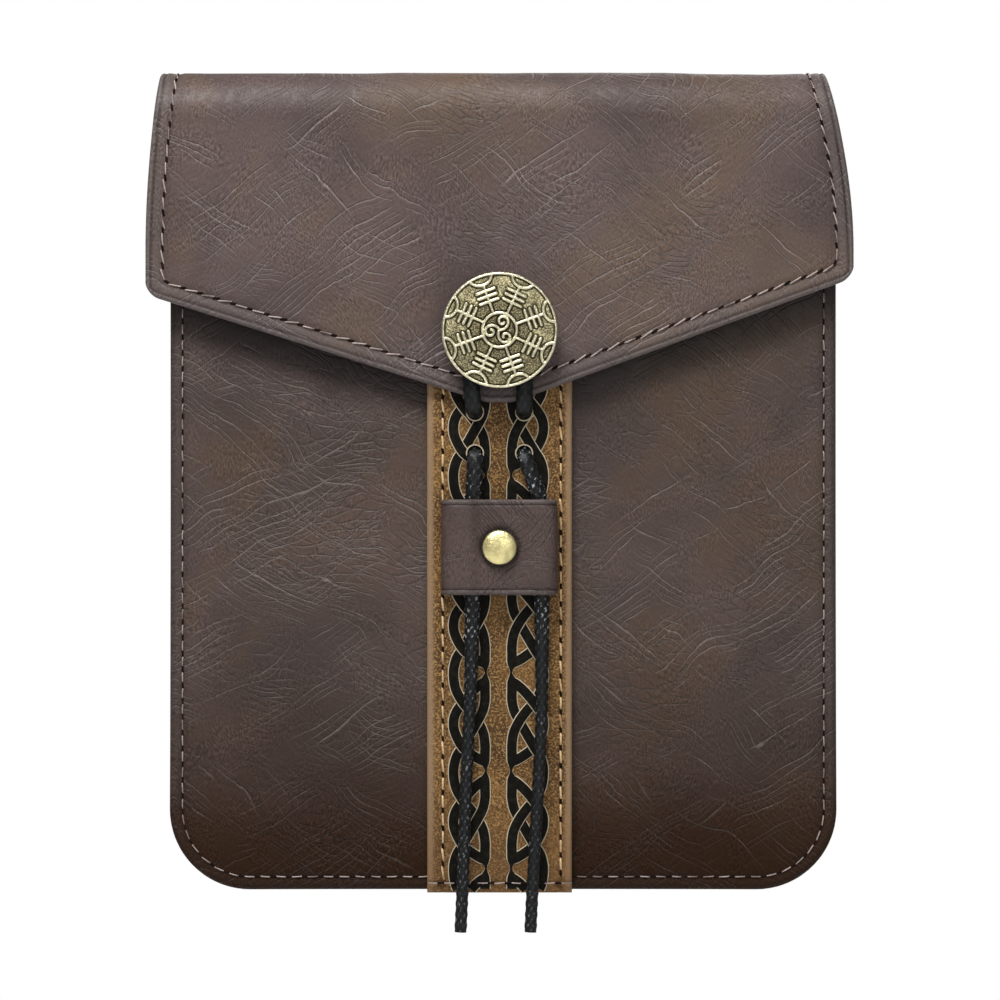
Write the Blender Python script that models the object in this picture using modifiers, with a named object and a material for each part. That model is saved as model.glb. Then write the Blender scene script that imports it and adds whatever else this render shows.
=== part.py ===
"""Medieval belt pouch of dark leather.

A crowned front panel and a flat back panel are sewn to a gusset that bends round the sides and the
bottom. A pointed flap rolls over the top. A tan centre strap runs down the front, and a waxed cord
passes through it, loops behind a round brass concho on the flap and runs under a riveted keeper,
with two tails that hang down. Two loops on the back take a belt.

X runs to the wearer's left as the front is looked at from -Y, Z is up. The origin is the middle of
the belt passage, halfway between the back panel and the belt loops. Lengths are metres.
"""

import math

import bmesh
import bpy
from mathutils import Vector

# Body
POUCH_HEIGHT = 0.1812
BODY_WIDTH = 0.148
BODY_DEPTH = 0.030
BODY_CORNER = 0.018
PANEL_LEATHER = 0.002
GUSSET_LEATHER = 0.0018
MOUTH_BELOW_ROLL = 0.004
FRONT_BULGE = 0.005

# Flap, whose two sides taper unlike amounts and whose lower corners sit at unlike heights
FLAP_OVERHANG = 0.00425
FLAP_LEFT_TAPER = 0.0030
FLAP_RIGHT_TAPER = 0.0059
FLAP_LEATHER = 0.0025
FLAP_ROLL = 0.010
FLAP_FLARE_DROP = 0.040
FLAP_LEFT_DROP = 0.0495
FLAP_RIGHT_DROP = 0.0458
FLAP_TIP_DROP = 0.0733
FLAP_TIP_WIDTH = 0.006
FLAP_CORNER = 0.003
FLAP_ABOVE_LOOPS = 0.0025

# Gusset
GUSSET_INSET = 0.001
GUSSET_BEND = 0.002
GUSSET_FLANGE = 0.009

# Centre strap, keeper and rivet
CLOSURE_SHIFT = -0.0008
STRAP_WIDTH = 0.032
STRAP_LEATHER = 0.002
STRAP_BELOW_WASHER = 0.0016
STRAP_LIP = 0.0004
KEEPER_WIDTH = 0.0257
KEEPER_HEIGHT = 0.021
KEEPER_DROP = 0.1052
KEEPER_LEATHER = 0.0015
RIVET_WIDTH = 0.0078
RIVET_DOME = 0.0017
RIVET_SHANK = 0.0024
RIVET_CAP_WIDTH = 0.006
RIVET_CAP_THICKNESS = 0.0008

# Concho
CONCHO_WIDTH = 0.0255
CONCHO_DROP = 0.0576
CONCHO_PLATE = 0.0013
CONCHO_RELIEF = 0.0005
CONCHO_LINE = 0.00057
CONCHO_COLLAR_WIDTH = 0.0064
CONCHO_POST_WIDTH = 0.0044
CONCHO_WASHER_WIDTH = 0.010
CONCHO_WASHER_THICKNESS = 0.0010

# Cord
CORD_DIAMETER = 0.0026
CORD_HOLE_SPACING = 0.0108
CORD_HOLE_BELOW_TIP = 0.0022
CORD_HOLE_PITCH = 0.0090

# Belt loops
BELT_HEIGHT = 0.046
BELT_THICKNESS = 0.006
LOOP_WIDTH = 0.024
LOOP_LEATHER = 0.002
LOOP_SPACING = 0.078
LOOP_BEND = 0.005
LOOP_TAB = 0.010
LOOP_DROP = 0.0367

# Clearances
GAP = 0.0003
CORD_CLEARANCE = 0.0004

# Places that follow from the sizes
TOP_Z = LOOP_DROP + BELT_HEIGHT / 2
BOTTOM_Z = TOP_Z - POUCH_HEIGHT
MOUTH_Z = TOP_Z - FLAP_ROLL - MOUTH_BELOW_ROLL
BACK_Y = -BELT_THICKNESS / 2
FRONT_Y = BACK_Y - BODY_DEPTH
FLAP_WIDTH = BODY_WIDTH + 2 * FLAP_OVERHANG
FLAP_BACK_DROP = LOOP_DROP - LOOP_BEND - LOOP_TAB - FLAP_ABOVE_LOOPS
FLAP_LIFT = 2 * GAP + STRAP_LEATHER
STRAP_TOP_DROP = CONCHO_DROP + CONCHO_WASHER_WIDTH / 2 + STRAP_BELOW_WASHER
UPPER_HOLE_DROP = FLAP_TIP_DROP + CORD_HOLE_BELOW_TIP
LOWER_HOLE_DROP = UPPER_HOLE_DROP + CORD_HOLE_PITCH
COLLAR_LENGTH = CORD_DIAMETER + 2 * GAP

# How the front bulges: the share of the height where it stands out most, and what is left at the mouth
BULGE_POWER = 2.6
BULGE_HEIGHT = 0.55
BULGE_END = 0.95
MOUTH_BULGE = 0.70

# How the keeper stands over the cords: shares of its half width and of its height over the strap
KEEPER_RISE = CORD_DIAMETER + KEEPER_LEATHER + 3 * GAP
KEEPER_ARCH = (
    (0.00, 0.84),
    (0.34, 0.84),
    (0.46, 1.00),
    (0.80, 1.00),
    (0.93, 0.86),
    (1.00, 0.55),
    (1.00, 0.00),
)

# The concho's ornament, as shares of its radius
STAVE_COUNT = 8
STAVE_TURN = math.radians(20)
STAVE_START = 0.30
STAVE_END = 0.81
CROSSBAR_PLACES = (0.50, 0.60, 0.69)
CROSSBAR_LENGTH = 0.33
HALF_RING_PLACE = 0.975
HALF_RING_RADIUS = 0.185
INNER_RING_RADIUS = 0.295
SPIRAL_COUNT = 3
SPIRAL_TURN = math.radians(68)
SPIRAL_PLACE = 0.157
SPIRAL_END_RADIUS = 0.035
SPIRAL_SWEEP = math.radians(400)

# The cord's route from inside the keeper, through the strap, round the concho's collar and back again
CLOSURE_ROUTE = (
    (-0.0067, -0.0412, -0.0541),
    (-0.0067, -0.0415, -0.0480),
    (-0.0067, -0.0418, -0.0410),
    (-0.0066, -0.0420, -0.0350),
    (-0.0063, -0.0421, -0.0300),
    (-0.0062, -0.0420, -0.0270),
    (-0.0062, -0.0414, -0.0255),
    (-0.0062, -0.0398, -0.0248),
    (-0.0062, -0.0381, -0.0248),
    (-0.0062, -0.0364, -0.0248),
    (-0.0062, -0.0349, -0.0241),
    (-0.0062, -0.0342, -0.0226),
    (-0.0062, -0.0342, -0.0203),
    (-0.0062, -0.0342, -0.0180),
    (-0.0062, -0.0349, -0.0165),
    (-0.0062, -0.0364, -0.0158),
    (-0.0062, -0.0381, -0.0158),
    (-0.0062, -0.0400, -0.0158),
    (-0.0063, -0.0422, -0.0157),
    (-0.0065, -0.0440, -0.0150),
    (-0.0067, -0.0448, -0.0132),
    (-0.0070, -0.0448, -0.0100),
    (-0.0070, -0.0447, -0.0060),
    (-0.0064, -0.0446, -0.0015),
    (-0.0057, -0.0446, 0.0018),
    (-0.0049, -0.0445, 0.0047),
    (-0.0031, -0.0444, 0.0066),
    (-0.0008, -0.0444, 0.0071),
    (0.0015, -0.0444, 0.0066),
    (0.0033, -0.0445, 0.0047),
    (0.0041, -0.0446, 0.0018),
    (0.0046, -0.0446, -0.0015),
    (0.0047, -0.0447, -0.0060),
    (0.0047, -0.0448, -0.0100),
    (0.0047, -0.0448, -0.0132),
    (0.0046, -0.0440, -0.0150),
    (0.0046, -0.0422, -0.0157),
    (0.0046, -0.0400, -0.0158),
    (0.0046, -0.0381, -0.0158),
    (0.0046, -0.0364, -0.0158),
    (0.0046, -0.0349, -0.0165),
    (0.0046, -0.0342, -0.0180),
    (0.0046, -0.0342, -0.0203),
    (0.0046, -0.0342, -0.0226),
    (0.0046, -0.0349, -0.0241),
    (0.0046, -0.0364, -0.0248),
    (0.0046, -0.0381, -0.0248),
    (0.0046, -0.0398, -0.0248),
    (0.0048, -0.0414, -0.0255),
    (0.0053, -0.0421, -0.0270),
    (0.0065, -0.0422, -0.0300),
    (0.0080, -0.0420, -0.0350),
    (0.0084, -0.0418, -0.0410),
    (0.0084, -0.0415, -0.0480),
    (0.0084, -0.0412, -0.0541),
)
LEFT_TAIL_ROUTE = (
    (-0.0067, -0.0412, -0.0544),
    (-0.0068, -0.0410, -0.0620),
    (-0.0070, -0.0408, -0.0700),
    (-0.0073, -0.0405, -0.0800),
    (-0.0078, -0.0402, -0.0900),
    (-0.0083, -0.0398, -0.1020),
    (-0.0087, -0.0394, -0.1140),
    (-0.0091, -0.0390, -0.1240),
    (-0.0094, -0.0388, -0.1303),
)
RIGHT_TAIL_ROUTE = (
    (0.0084, -0.0412, -0.0544),
    (0.0085, -0.0410, -0.0620),
    (0.0085, -0.0408, -0.0700),
    (0.0085, -0.0405, -0.0790),
    (0.0082, -0.0402, -0.0890),
    (0.0076, -0.0398, -0.1000),
    (0.0070, -0.0394, -0.1110),
    (0.0064, -0.0390, -0.1220),
    (0.0060, -0.0388, -0.1303),
)
CLOSURE_STEPS = 76
TAIL_STEPS = 16

# Fineness of the meshes
PANEL_COLUMNS = 16
CORNER_STEPS = 6
SIDE_STEPS = 12
FLAP_COLUMNS = 14
FLAP_ROWS = 8
ROLL_STEPS = 5
HOLE_SIDES = 16
ROUND_SIDES = 48


def clear_scene():
    """Removes whatever the scene holds."""
    for old in list(bpy.data.objects):
        bpy.data.objects.remove(old, do_unlink=True)


def new_collection(name, is_helper=False):
    """Adds a collection to the scene."""
    made = bpy.data.collections.new(name)
    made.hide_render = is_helper
    bpy.context.scene.collection.children.link(made)
    return made


def new_material(name, colour, roughness, metallic=0.0):
    """Makes a plain Principled material."""
    made = bpy.data.materials.new(name)
    made.use_nodes = True
    shader = made.node_tree.nodes["Principled BSDF"]
    shader.inputs["Base Color"].default_value = (*colour, 1.0)
    shader.inputs["Roughness"].default_value = roughness
    shader.inputs["Metallic"].default_value = metallic
    return made


def new_object(name, data, collection, material=None):
    """Makes an object of a mesh or a curve in a collection."""
    made = bpy.data.objects.new(name, data)
    collection.objects.link(made)
    if material:
        data.materials.append(material)
    return made


def as_helper(helper):
    """Marks an object as a cutter or a guide, which isn't part of the pouch."""
    helper.hide_render = True
    helper.display_type = "WIRE"
    return helper


def sheet_mesh(name, rows):
    """Makes an open surface through rows of points, facing left to right across bottom to top."""
    shell = bmesh.new()
    grid = [[shell.verts.new(point) for point in row] for row in rows]
    for lower, upper in zip(grid, grid[1:]):
        for column in range(len(lower) - 1):
            shell.faces.new((lower[column], lower[column + 1], upper[column + 1], upper[column]))
    mesh = bpy.data.meshes.new(name)
    shell.to_mesh(mesh)
    shell.free()
    mesh.shade_smooth()
    return mesh


def leather_piece(name, rows, thickness, collection, material):
    """Makes a leather piece whose outer face runs through rows of points."""
    piece = new_object(name, sheet_mesh(name, rows), collection, material)
    wall = piece.modifiers.new("leather", "SOLIDIFY")
    wall.thickness = thickness
    wall.offset = -1.0
    wall.use_even_offset = True
    piece.data.set_sharp_from_angle(angle=math.radians(40))
    return piece


def baked_mesh(source, name):
    """Makes a welded mesh of an object as it is evaluated, and removes the object."""
    bpy.context.view_layer.update()
    graph = bpy.context.evaluated_depsgraph_get()
    mesh = bpy.data.meshes.new_from_object(source.evaluated_get(graph))
    mesh.name = name
    welder = bmesh.new()
    welder.from_mesh(mesh)
    bmesh.ops.remove_doubles(welder, verts=welder.verts, dist=1e-6)
    bmesh.ops.recalc_face_normals(welder, faces=welder.faces)
    welder.to_mesh(mesh)
    welder.free()
    bpy.data.objects.remove(source, do_unlink=True)
    return mesh


def cut_with(piece, cutter):
    """Cuts a piece with one cutter."""
    cut = piece.modifiers.new("cut_" + cutter.name, "BOOLEAN")
    cut.operation = "DIFFERENCE"
    cut.solver = "EXACT"
    cut.object = cutter


def hole_cutter(name, x, z, radius, y_middle, length, cutters):
    """Makes a round cutter that runs front to back."""
    rod = bmesh.new()
    bmesh.ops.create_cone(
        rod, cap_ends=True, segments=HOLE_SIDES, radius1=radius, radius2=radius, depth=length
    )
    mesh = bpy.data.meshes.new(name)
    rod.to_mesh(mesh)
    rod.free()
    cutter = as_helper(new_object(name, mesh, cutters))
    cutter.location = (x, y_middle, z)
    cutter.rotation_euler = (math.pi / 2, 0, 0)
    return cutter


def turned_mesh(name, profile, collection):
    """Turns a profile of (radius, height) pairs, given from the top down, into a closed mesh."""
    line = bpy.data.meshes.new(name + "_profile")
    points = [(radius, 0, height) for radius, height in profile]
    line.from_pydata(points, [(at, at + 1) for at in range(len(points) - 1)], [])
    turned = new_object(name + "_profile", line, collection)
    screw = turned.modifiers.new("turn", "SCREW")
    screw.steps = ROUND_SIDES
    screw.render_steps = ROUND_SIDES
    screw.use_merge_vertices = True
    screw.merge_threshold = 1e-5
    screw.use_smooth_shade = True
    return baked_mesh(turned, name)


def smooth_step(share):
    """Eases from 0 to 1."""
    share = min(1.0, max(0.0, share))
    return share * share * (3 - 2 * share)


def bulge(x, z, half_width):
    """How far the front stands out at a place, less towards the sides, the bottom and the mouth."""
    across = 1 - min(1.0, abs(x) / half_width) ** BULGE_POWER
    height = min(1.0, max(0.0, (z - BOTTOM_Z) / POUCH_HEIGHT))
    if height < BULGE_HEIGHT:
        along = math.sin(math.pi / 2 * height / BULGE_HEIGHT)
    else:
        fall = smooth_step((height - BULGE_HEIGHT) / (BULGE_END - BULGE_HEIGHT))
        along = 1 - (1 - MOUTH_BULGE) * fall
    return FRONT_BULGE * across * along


def front_face(x, z):
    """Y of the front panel's outer face."""
    return FRONT_Y - bulge(x, z, BODY_WIDTH / 2)


def strap_face(x, z):
    """Y of the centre strap's outer face."""
    return front_face(x, z) - GAP - STRAP_LEATHER


def flap_face(x, z):
    """Y of the flap's outer face where it hangs down the front."""
    spread = bulge(x - CLOSURE_SHIFT, z, FLAP_WIDTH / 2)
    return FRONT_Y - spread - FLAP_LIFT - FLAP_LEATHER


def body_half_width(z):
    """Half the body's width at a height, less at the rounded bottom corners."""
    above = z - BOTTOM_Z
    if above >= BODY_CORNER:
        return BODY_WIDTH / 2
    below_centre = BODY_CORNER - max(0.0, above)
    return BODY_WIDTH / 2 - BODY_CORNER + math.sqrt(BODY_CORNER**2 - below_centre**2)


def body_heights(top_z):
    """Heights of the rows of a panel, close together round the bottom corners."""
    heights = []
    for step in range(CORNER_STEPS):
        angle = math.pi / 2 * step / CORNER_STEPS
        heights.append(BOTTOM_Z + BODY_CORNER * (1 - math.cos(angle)))
    start = BOTTOM_Z + BODY_CORNER
    heights += [start + (top_z - start) * step / SIDE_STEPS for step in range(SIDE_STEPS + 1)]
    return heights


def panel_rows(top_z, columns, face):
    """Rows of points of a body panel, bottom to top."""
    rows = []
    for z in body_heights(top_z):
        half = body_half_width(z)
        places = [half * (2 * column / columns - 1) for column in range(columns + 1)]
        rows.append([(x, face(x, z), z) for x in places])
    return rows


def rim_path(inset):
    """Points down the left side, round the bottom and up the right side, inside the outline by an inset."""
    centre_x = BODY_WIDTH / 2 - BODY_CORNER
    centre_z = BOTTOM_Z + BODY_CORNER
    radius = BODY_CORNER - inset
    half = []
    for step in range(SIDE_STEPS):
        z = MOUTH_Z + (centre_z - MOUTH_Z) * step / SIDE_STEPS
        half.append((-centre_x - radius, z))
    for step in range(CORNER_STEPS + 1):
        angle = math.pi + math.pi / 2 * step / CORNER_STEPS
        half.append((-centre_x + radius * math.cos(angle), centre_z + radius * math.sin(angle)))
    for step in range(1, SIDE_STEPS // 2):
        half.append((-centre_x * (1 - 2 * step / SIDE_STEPS), centre_z - radius))
    middle = [(0.0, centre_z - radius)]
    return half + middle + [(-x, z) for x, z in reversed(half)]


def gusset_rows():
    """Rows of the gusset's outer face: a flange behind the front panel, the wall, a flange at the back."""
    bend_inset = GUSSET_INSET + GUSSET_BEND
    back_y = BACK_Y - PANEL_LEATHER - GAP
    paths = {inset: rim_path(inset) for inset in (GUSSET_FLANGE, bend_inset, GUSSET_INSET)}
    rows = []
    for station in range(len(paths[GUSSET_INSET])):
        flange = paths[GUSSET_FLANGE][station]
        bend = paths[bend_inset][station]
        wall = paths[GUSSET_INSET][station]
        inner = PANEL_LEATHER + GAP
        rows.append(
            [
                (flange[0], front_face(*flange) + inner, flange[1]),
                (bend[0], front_face(*bend) + inner, bend[1]),
                (wall[0], front_face(*wall) + inner + GUSSET_BEND, wall[1]),
                (wall[0], back_y - GUSSET_BEND, wall[1]),
                (bend[0], back_y, bend[1]),
                (flange[0], back_y, flange[1]),
            ]
        )
    return rows


def flap_x(share, z):
    """X of a place on the flap at a share of its half width; each side flares below the roll."""
    taper = FLAP_LEFT_TAPER if share < 0 else FLAP_RIGHT_TAPER
    flare = min(1.0, (TOP_Z - z) / FLAP_FLARE_DROP)
    return CLOSURE_SHIFT + share * (FLAP_WIDTH / 2 - taper * (1 - math.sin(math.pi / 2 * flare)))


def flap_edge_z(share):
    """Height of the flap's pointed lower edge at a share of its half width."""
    half = FLAP_WIDTH / 2
    place = abs(share) * half
    side_drop = FLAP_LEFT_DROP if share < 0 else FLAP_RIGHT_DROP
    reach = max(0.0, place - FLAP_TIP_WIDTH / 2) / (half - FLAP_TIP_WIDTH / 2)
    drop = FLAP_TIP_DROP - (FLAP_TIP_DROP - side_drop) * reach
    to_side = half - place
    if to_side < FLAP_CORNER:
        drop -= FLAP_CORNER - math.sqrt(FLAP_CORNER**2 - (FLAP_CORNER - to_side) ** 2)
    return TOP_Z - drop


def flap_shares():
    """Places of the flap's columns, as shares of its half width, closer at the corners and the tip."""
    half = FLAP_WIDTH / 2
    corner = FLAP_CORNER / half
    tip = FLAP_TIP_WIDTH / 2 / half
    side = [1.0, 1 - 0.12 * corner, 1 - 0.5 * corner, 1 - corner]
    steps = FLAP_COLUMNS // 2
    side += [1 - corner - (1 - corner - tip) * step / steps for step in range(1, steps + 1)]
    return [-share for share in side] + [0.0] + list(reversed(side))


def flap_column(share):
    """Points of one column of the flap, from its lower edge up the front, over the roll and down the back."""
    edge_z = flap_edge_z(share)
    roll_z = TOP_Z - FLAP_ROLL
    points = []
    for step in range(FLAP_ROWS):
        z = edge_z + (roll_z - edge_z) * step / FLAP_ROWS
        x = flap_x(share, z)
        points.append((x, flap_face(x, z), z))
    x = flap_x(share, roll_z)
    front_centre = flap_face(x, roll_z) + FLAP_ROLL
    back_y = BACK_Y + GAP + FLAP_LEATHER
    for step in range(ROLL_STEPS + 1):
        angle = math.pi / 2 * step / ROLL_STEPS
        z = roll_z + FLAP_ROLL * math.sin(angle)
        x = flap_x(share, z)
        points.append((x, front_centre - FLAP_ROLL * math.cos(angle), z))
    for step in range(ROLL_STEPS + 1):
        angle = math.pi / 2 * step / ROLL_STEPS
        z = roll_z + FLAP_ROLL * math.cos(angle)
        x = flap_x(share, TOP_Z)
        points.append((x, back_y - FLAP_ROLL + FLAP_ROLL * math.sin(angle), z))
    points.append((flap_x(share, TOP_Z), back_y, TOP_Z - FLAP_BACK_DROP))
    return points


def add_panels(parts, leather):
    """Adds the crowned front panel and the flat back panel."""
    front_rows = panel_rows(MOUTH_Z, PANEL_COLUMNS, front_face)
    front = leather_piece("front_panel", front_rows, PANEL_LEATHER, parts, leather)
    back_rows = panel_rows(TOP_Z - FLAP_ROLL, 2, lambda x, z: BACK_Y)
    back_rows = [list(reversed(row)) for row in back_rows]
    leather_piece("back_panel", back_rows, PANEL_LEATHER, parts, leather)
    return front


def add_gusset(parts, leather):
    """Adds the gusset, bent round the sides and the bottom between the panels."""
    leather_piece("gusset", gusset_rows(), GUSSET_LEATHER, parts, leather)


def add_flap(parts, cutters, leather):
    """Adds the flap, with a hole for the concho's post."""
    columns = [flap_column(share) for share in flap_shares()]
    rows = [list(row) for row in zip(*columns)]
    flap = leather_piece("flap", rows, FLAP_LEATHER, parts, leather)
    z = TOP_Z - CONCHO_DROP
    radius = CONCHO_POST_WIDTH / 2 + GAP
    middle = flap_face(CLOSURE_SHIFT, z) + FLAP_LEATHER / 2
    post_hole = hole_cutter(
        "post_hole", CLOSURE_SHIFT, z, radius, middle, 4 * FLAP_LEATHER, cutters
    )
    cut_with(flap, post_hole)


def add_strap(parts, leather):
    """Adds the centre strap, which lies down the front to the bottom edge."""
    low = BOTTOM_Z - STRAP_LIP
    high = TOP_Z - STRAP_TOP_DROP
    steps = 2 * SIDE_STEPS
    rows = []
    for step in range(steps + 1):
        z = low + (high - low) * step / steps
        places = [CLOSURE_SHIFT + STRAP_WIDTH * (column / 4 - 0.5) for column in range(5)]
        rows.append([(x, strap_face(x, z), z) for x in places])
    return leather_piece("centre_strap", rows, STRAP_LEATHER, parts, leather)


def cut_front_holes(front, strap, cutters):
    """Cuts the four cord holes and the rivet's hole through the strap and the front panel."""
    places = []
    for drop in (UPPER_HOLE_DROP, LOWER_HOLE_DROP):
        for side in (-1, 1):
            x = CLOSURE_SHIFT + side * CORD_HOLE_SPACING / 2
            places.append((x, TOP_Z - drop, CORD_DIAMETER / 2 + CORD_CLEARANCE))
    places.append((CLOSURE_SHIFT, TOP_Z - KEEPER_DROP, RIVET_SHANK / 2 + GAP))
    depth = 3 * (STRAP_LEATHER + PANEL_LEATHER)
    for number, (x, z, radius) in enumerate(places, 1):
        cutter = hole_cutter(f"front_hole_{number}", x, z, radius, front_face(x, z), depth, cutters)
        cut_with(front, cutter)
        cut_with(strap, cutter)


def add_keeper(parts, cutters, leather):
    """Adds the keeper, which stands over both cords and is held down in its middle by the rivet."""
    half = KEEPER_WIDTH / 2
    right = [(share * half, rise * KEEPER_RISE) for share, rise in KEEPER_ARCH]
    arch = [(-x, rise) for x, rise in reversed(right[1:])] + right
    middle_z = TOP_Z - KEEPER_DROP
    rows = []
    for step in range(3):
        z = middle_z + KEEPER_HEIGHT * (step / 2 - 0.5)
        rows.append(
            [(CLOSURE_SHIFT + x, strap_face(x, z) - GAP - rise, z) for x, rise in arch]
        )
    keeper = leather_piece("keeper", rows, KEEPER_LEATHER, parts, leather)
    radius = RIVET_SHANK / 2 + GAP
    middle_y = strap_face(CLOSURE_SHIFT, middle_z) - KEEPER_RISE
    rivet_hole = hole_cutter(
        "rivet_hole", CLOSURE_SHIFT, middle_z, radius, middle_y, KEEPER_RISE, cutters
    )
    cut_with(keeper, rivet_hole)


def add_rivet(parts, brass):
    """Adds the domed rivet, with a shank through keeper, strap and panel and a flat cap inside."""
    z = TOP_Z - KEEPER_DROP
    keeper_middle = KEEPER_ARCH[0][1] * KEEPER_RISE
    seat_y = strap_face(CLOSURE_SHIFT, z) - GAP - keeper_middle - GAP
    cap_y = front_face(CLOSURE_SHIFT, z) + PANEL_LEATHER + GAP
    shank = cap_y - seat_y
    radius = RIVET_WIDTH / 2
    rim = RIVET_DOME / 4
    profile = []
    for step in range(6):
        angle = math.pi / 2 * step / 5
        profile.append((radius * math.sin(angle), rim + (RIVET_DOME - rim) * math.cos(angle)))
    profile += [
        (radius, 0),
        (RIVET_SHANK / 2, 0),
        (RIVET_SHANK / 2, -shank),
        (RIVET_CAP_WIDTH / 2, -shank),
        (RIVET_CAP_WIDTH / 2, -shank - RIVET_CAP_THICKNESS),
        (0, -shank - RIVET_CAP_THICKNESS),
    ]
    rivet = new_object("keeper_rivet", turned_mesh("keeper_rivet", profile, parts), parts, brass)
    rivet.location = (CLOSURE_SHIFT, seat_y, z)
    rivet.rotation_euler = (math.pi / 2, 0, 0)
    rivet.data.set_sharp_from_angle(angle=math.radians(40))


def ring_points(centre, radius, start, sweep, steps):
    """Points along an arc in a plane."""
    points = []
    for step in range(steps + 1):
        angle = start + sweep * step / steps
        points.append((centre[0] + radius * math.cos(angle), centre[1] + radius * math.sin(angle)))
    return points


def stroke_section(helpers):
    """Makes the cross-section of the concho's raised lines, sunk a little into its plate."""
    section = bpy.data.curves.new("stroke_section", "CURVE")
    section.dimensions = "2D"
    half = CONCHO_LINE / 2
    corners = (
        (-half, -CONCHO_RELIEF / 2),
        (half, -CONCHO_RELIEF / 2),
        (half, CONCHO_RELIEF),
        (-half, CONCHO_RELIEF),
    )
    line = section.splines.new("POLY")
    line.points.add(len(corners) - 1)
    for point, corner in zip(line.points, corners):
        point.co = (*corner, 0, 1)
    line.use_cyclic_u = True
    return as_helper(new_object("stroke_section", section, helpers))


def add_stroke(name, points, section, strokes, is_closed=False):
    """Adds one raised line of the ornament, as a mesh at the height of the concho's field."""
    curve = bpy.data.curves.new(name, "CURVE")
    curve.dimensions = "2D"
    curve.bevel_mode = "OBJECT"
    curve.bevel_object = section
    curve.use_fill_caps = not is_closed
    line = curve.splines.new("POLY")
    line.points.add(len(points) - 1)
    for point, place in zip(line.points, points):
        point.co = (place[0], place[1], 0, 1)
    line.use_cyclic_u = is_closed
    mesh = baked_mesh(new_object(name + "_line", curve, strokes), name)
    return as_helper(new_object(name, mesh, strokes))


def add_staves(section, strokes):
    """Adds the eight staves, each with three crossbars and a half ring at the rim."""
    radius = CONCHO_WIDTH / 2
    made = []
    for number in range(STAVE_COUNT):
        turn = STAVE_TURN + 2 * math.pi * number / STAVE_COUNT
        along = Vector((math.cos(turn), math.sin(turn)))
        across = Vector((-along.y, along.x))
        stave = [along * radius * STAVE_START, along * radius * STAVE_END]
        made.append(add_stroke(f"stave_{number}", stave, section, strokes))
        for bar, place in enumerate(CROSSBAR_PLACES):
            middle = along * radius * place
            reach = across * radius * CROSSBAR_LENGTH / 2
            name = f"crossbar_{number}_{bar}"
            made.append(add_stroke(name, [middle - reach, middle + reach], section, strokes))
        centre = along * radius * HALF_RING_PLACE
        arc = ring_points(
            centre, radius * HALF_RING_RADIUS, turn + math.pi * 0.54, math.pi * 0.92, 8
        )
        made.append(add_stroke(f"half_ring_{number}", arc, section, strokes))
    return made


def add_middle(section, strokes):
    """Adds the inner ring and the three spirals that meet in the middle."""
    radius = CONCHO_WIDTH / 2
    circle = ring_points((0, 0), radius * INNER_RING_RADIUS, 0, 2 * math.pi, 24)[:-1]
    made = [add_stroke("inner_ring", circle, section, strokes, is_closed=True)]
    for number in range(SPIRAL_COUNT):
        turn = SPIRAL_TURN + 2 * math.pi * number / SPIRAL_COUNT
        centre = Vector((math.cos(turn), math.sin(turn))) * radius * SPIRAL_PLACE
        points = []
        steps = 16
        for step in range(steps + 1):
            share = step / steps
            reach = SPIRAL_PLACE + (SPIRAL_END_RADIUS - SPIRAL_PLACE) * share
            angle = turn + math.pi + SPIRAL_SWEEP * share
            points.append(centre + Vector((math.cos(angle), math.sin(angle))) * radius * reach)
        made.append(add_stroke(f"spiral_{number}", points, section, strokes))
    return made


def concho_profile(post_length):
    """Profile of the concho from its face down to the washer behind the flap."""
    radius = CONCHO_WIDTH / 2
    collar = CONCHO_COLLAR_WIDTH / 2
    post = CONCHO_POST_WIDTH / 2
    washer = CONCHO_WASHER_WIDTH / 2
    back = -CONCHO_PLATE
    foot = back - COLLAR_LENGTH
    end = foot - post_length
    return [
        (0, 0),
        (radius - 1.5 * CONCHO_LINE, 0),
        (radius - 1.2 * CONCHO_LINE, CONCHO_RELIEF),
        (radius - 0.3 * CONCHO_LINE, CONCHO_RELIEF),
        (radius, CONCHO_RELIEF / 2),
        (radius, back + CONCHO_RELIEF),
        (radius - CONCHO_LINE, back),
        (collar, back),
        (collar, foot),
        (post, foot),
        (post, end),
        (washer, end),
        (washer, end - CONCHO_WASHER_THICKNESS),
        (0, end - CONCHO_WASHER_THICKNESS),
    ]


def add_concho(parts, helpers, brass):
    """Adds the concho: a plate with raised ornament, a collar for the cord, a post and a washer."""
    z = TOP_Z - CONCHO_DROP
    post_length = FLAP_LEATHER + 2 * GAP
    field_y = flap_face(CLOSURE_SHIFT, z) - GAP - COLLAR_LENGTH - CONCHO_PLATE
    holder = bpy.data.objects.new("concho_place", None)
    parts.objects.link(holder)
    holder.location = (CLOSURE_SHIFT, field_y, z)
    holder.rotation_euler = (math.pi / 2, 0, 0)
    mesh = turned_mesh("concho", concho_profile(post_length), parts)
    concho = new_object("concho", mesh, parts, brass)
    concho.parent = holder
    strokes = bpy.data.collections.new("concho_strokes")
    strokes.hide_render = True
    helpers.children.link(strokes)
    section = stroke_section(helpers)
    for stroke in add_staves(section, strokes) + add_middle(section, strokes):
        stroke.parent = holder
    raised = concho.modifiers.new("raised_lines", "BOOLEAN")
    raised.operation = "UNION"
    raised.solver = "EXACT"
    raised.operand_type = "COLLECTION"
    raised.collection = strokes


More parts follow.
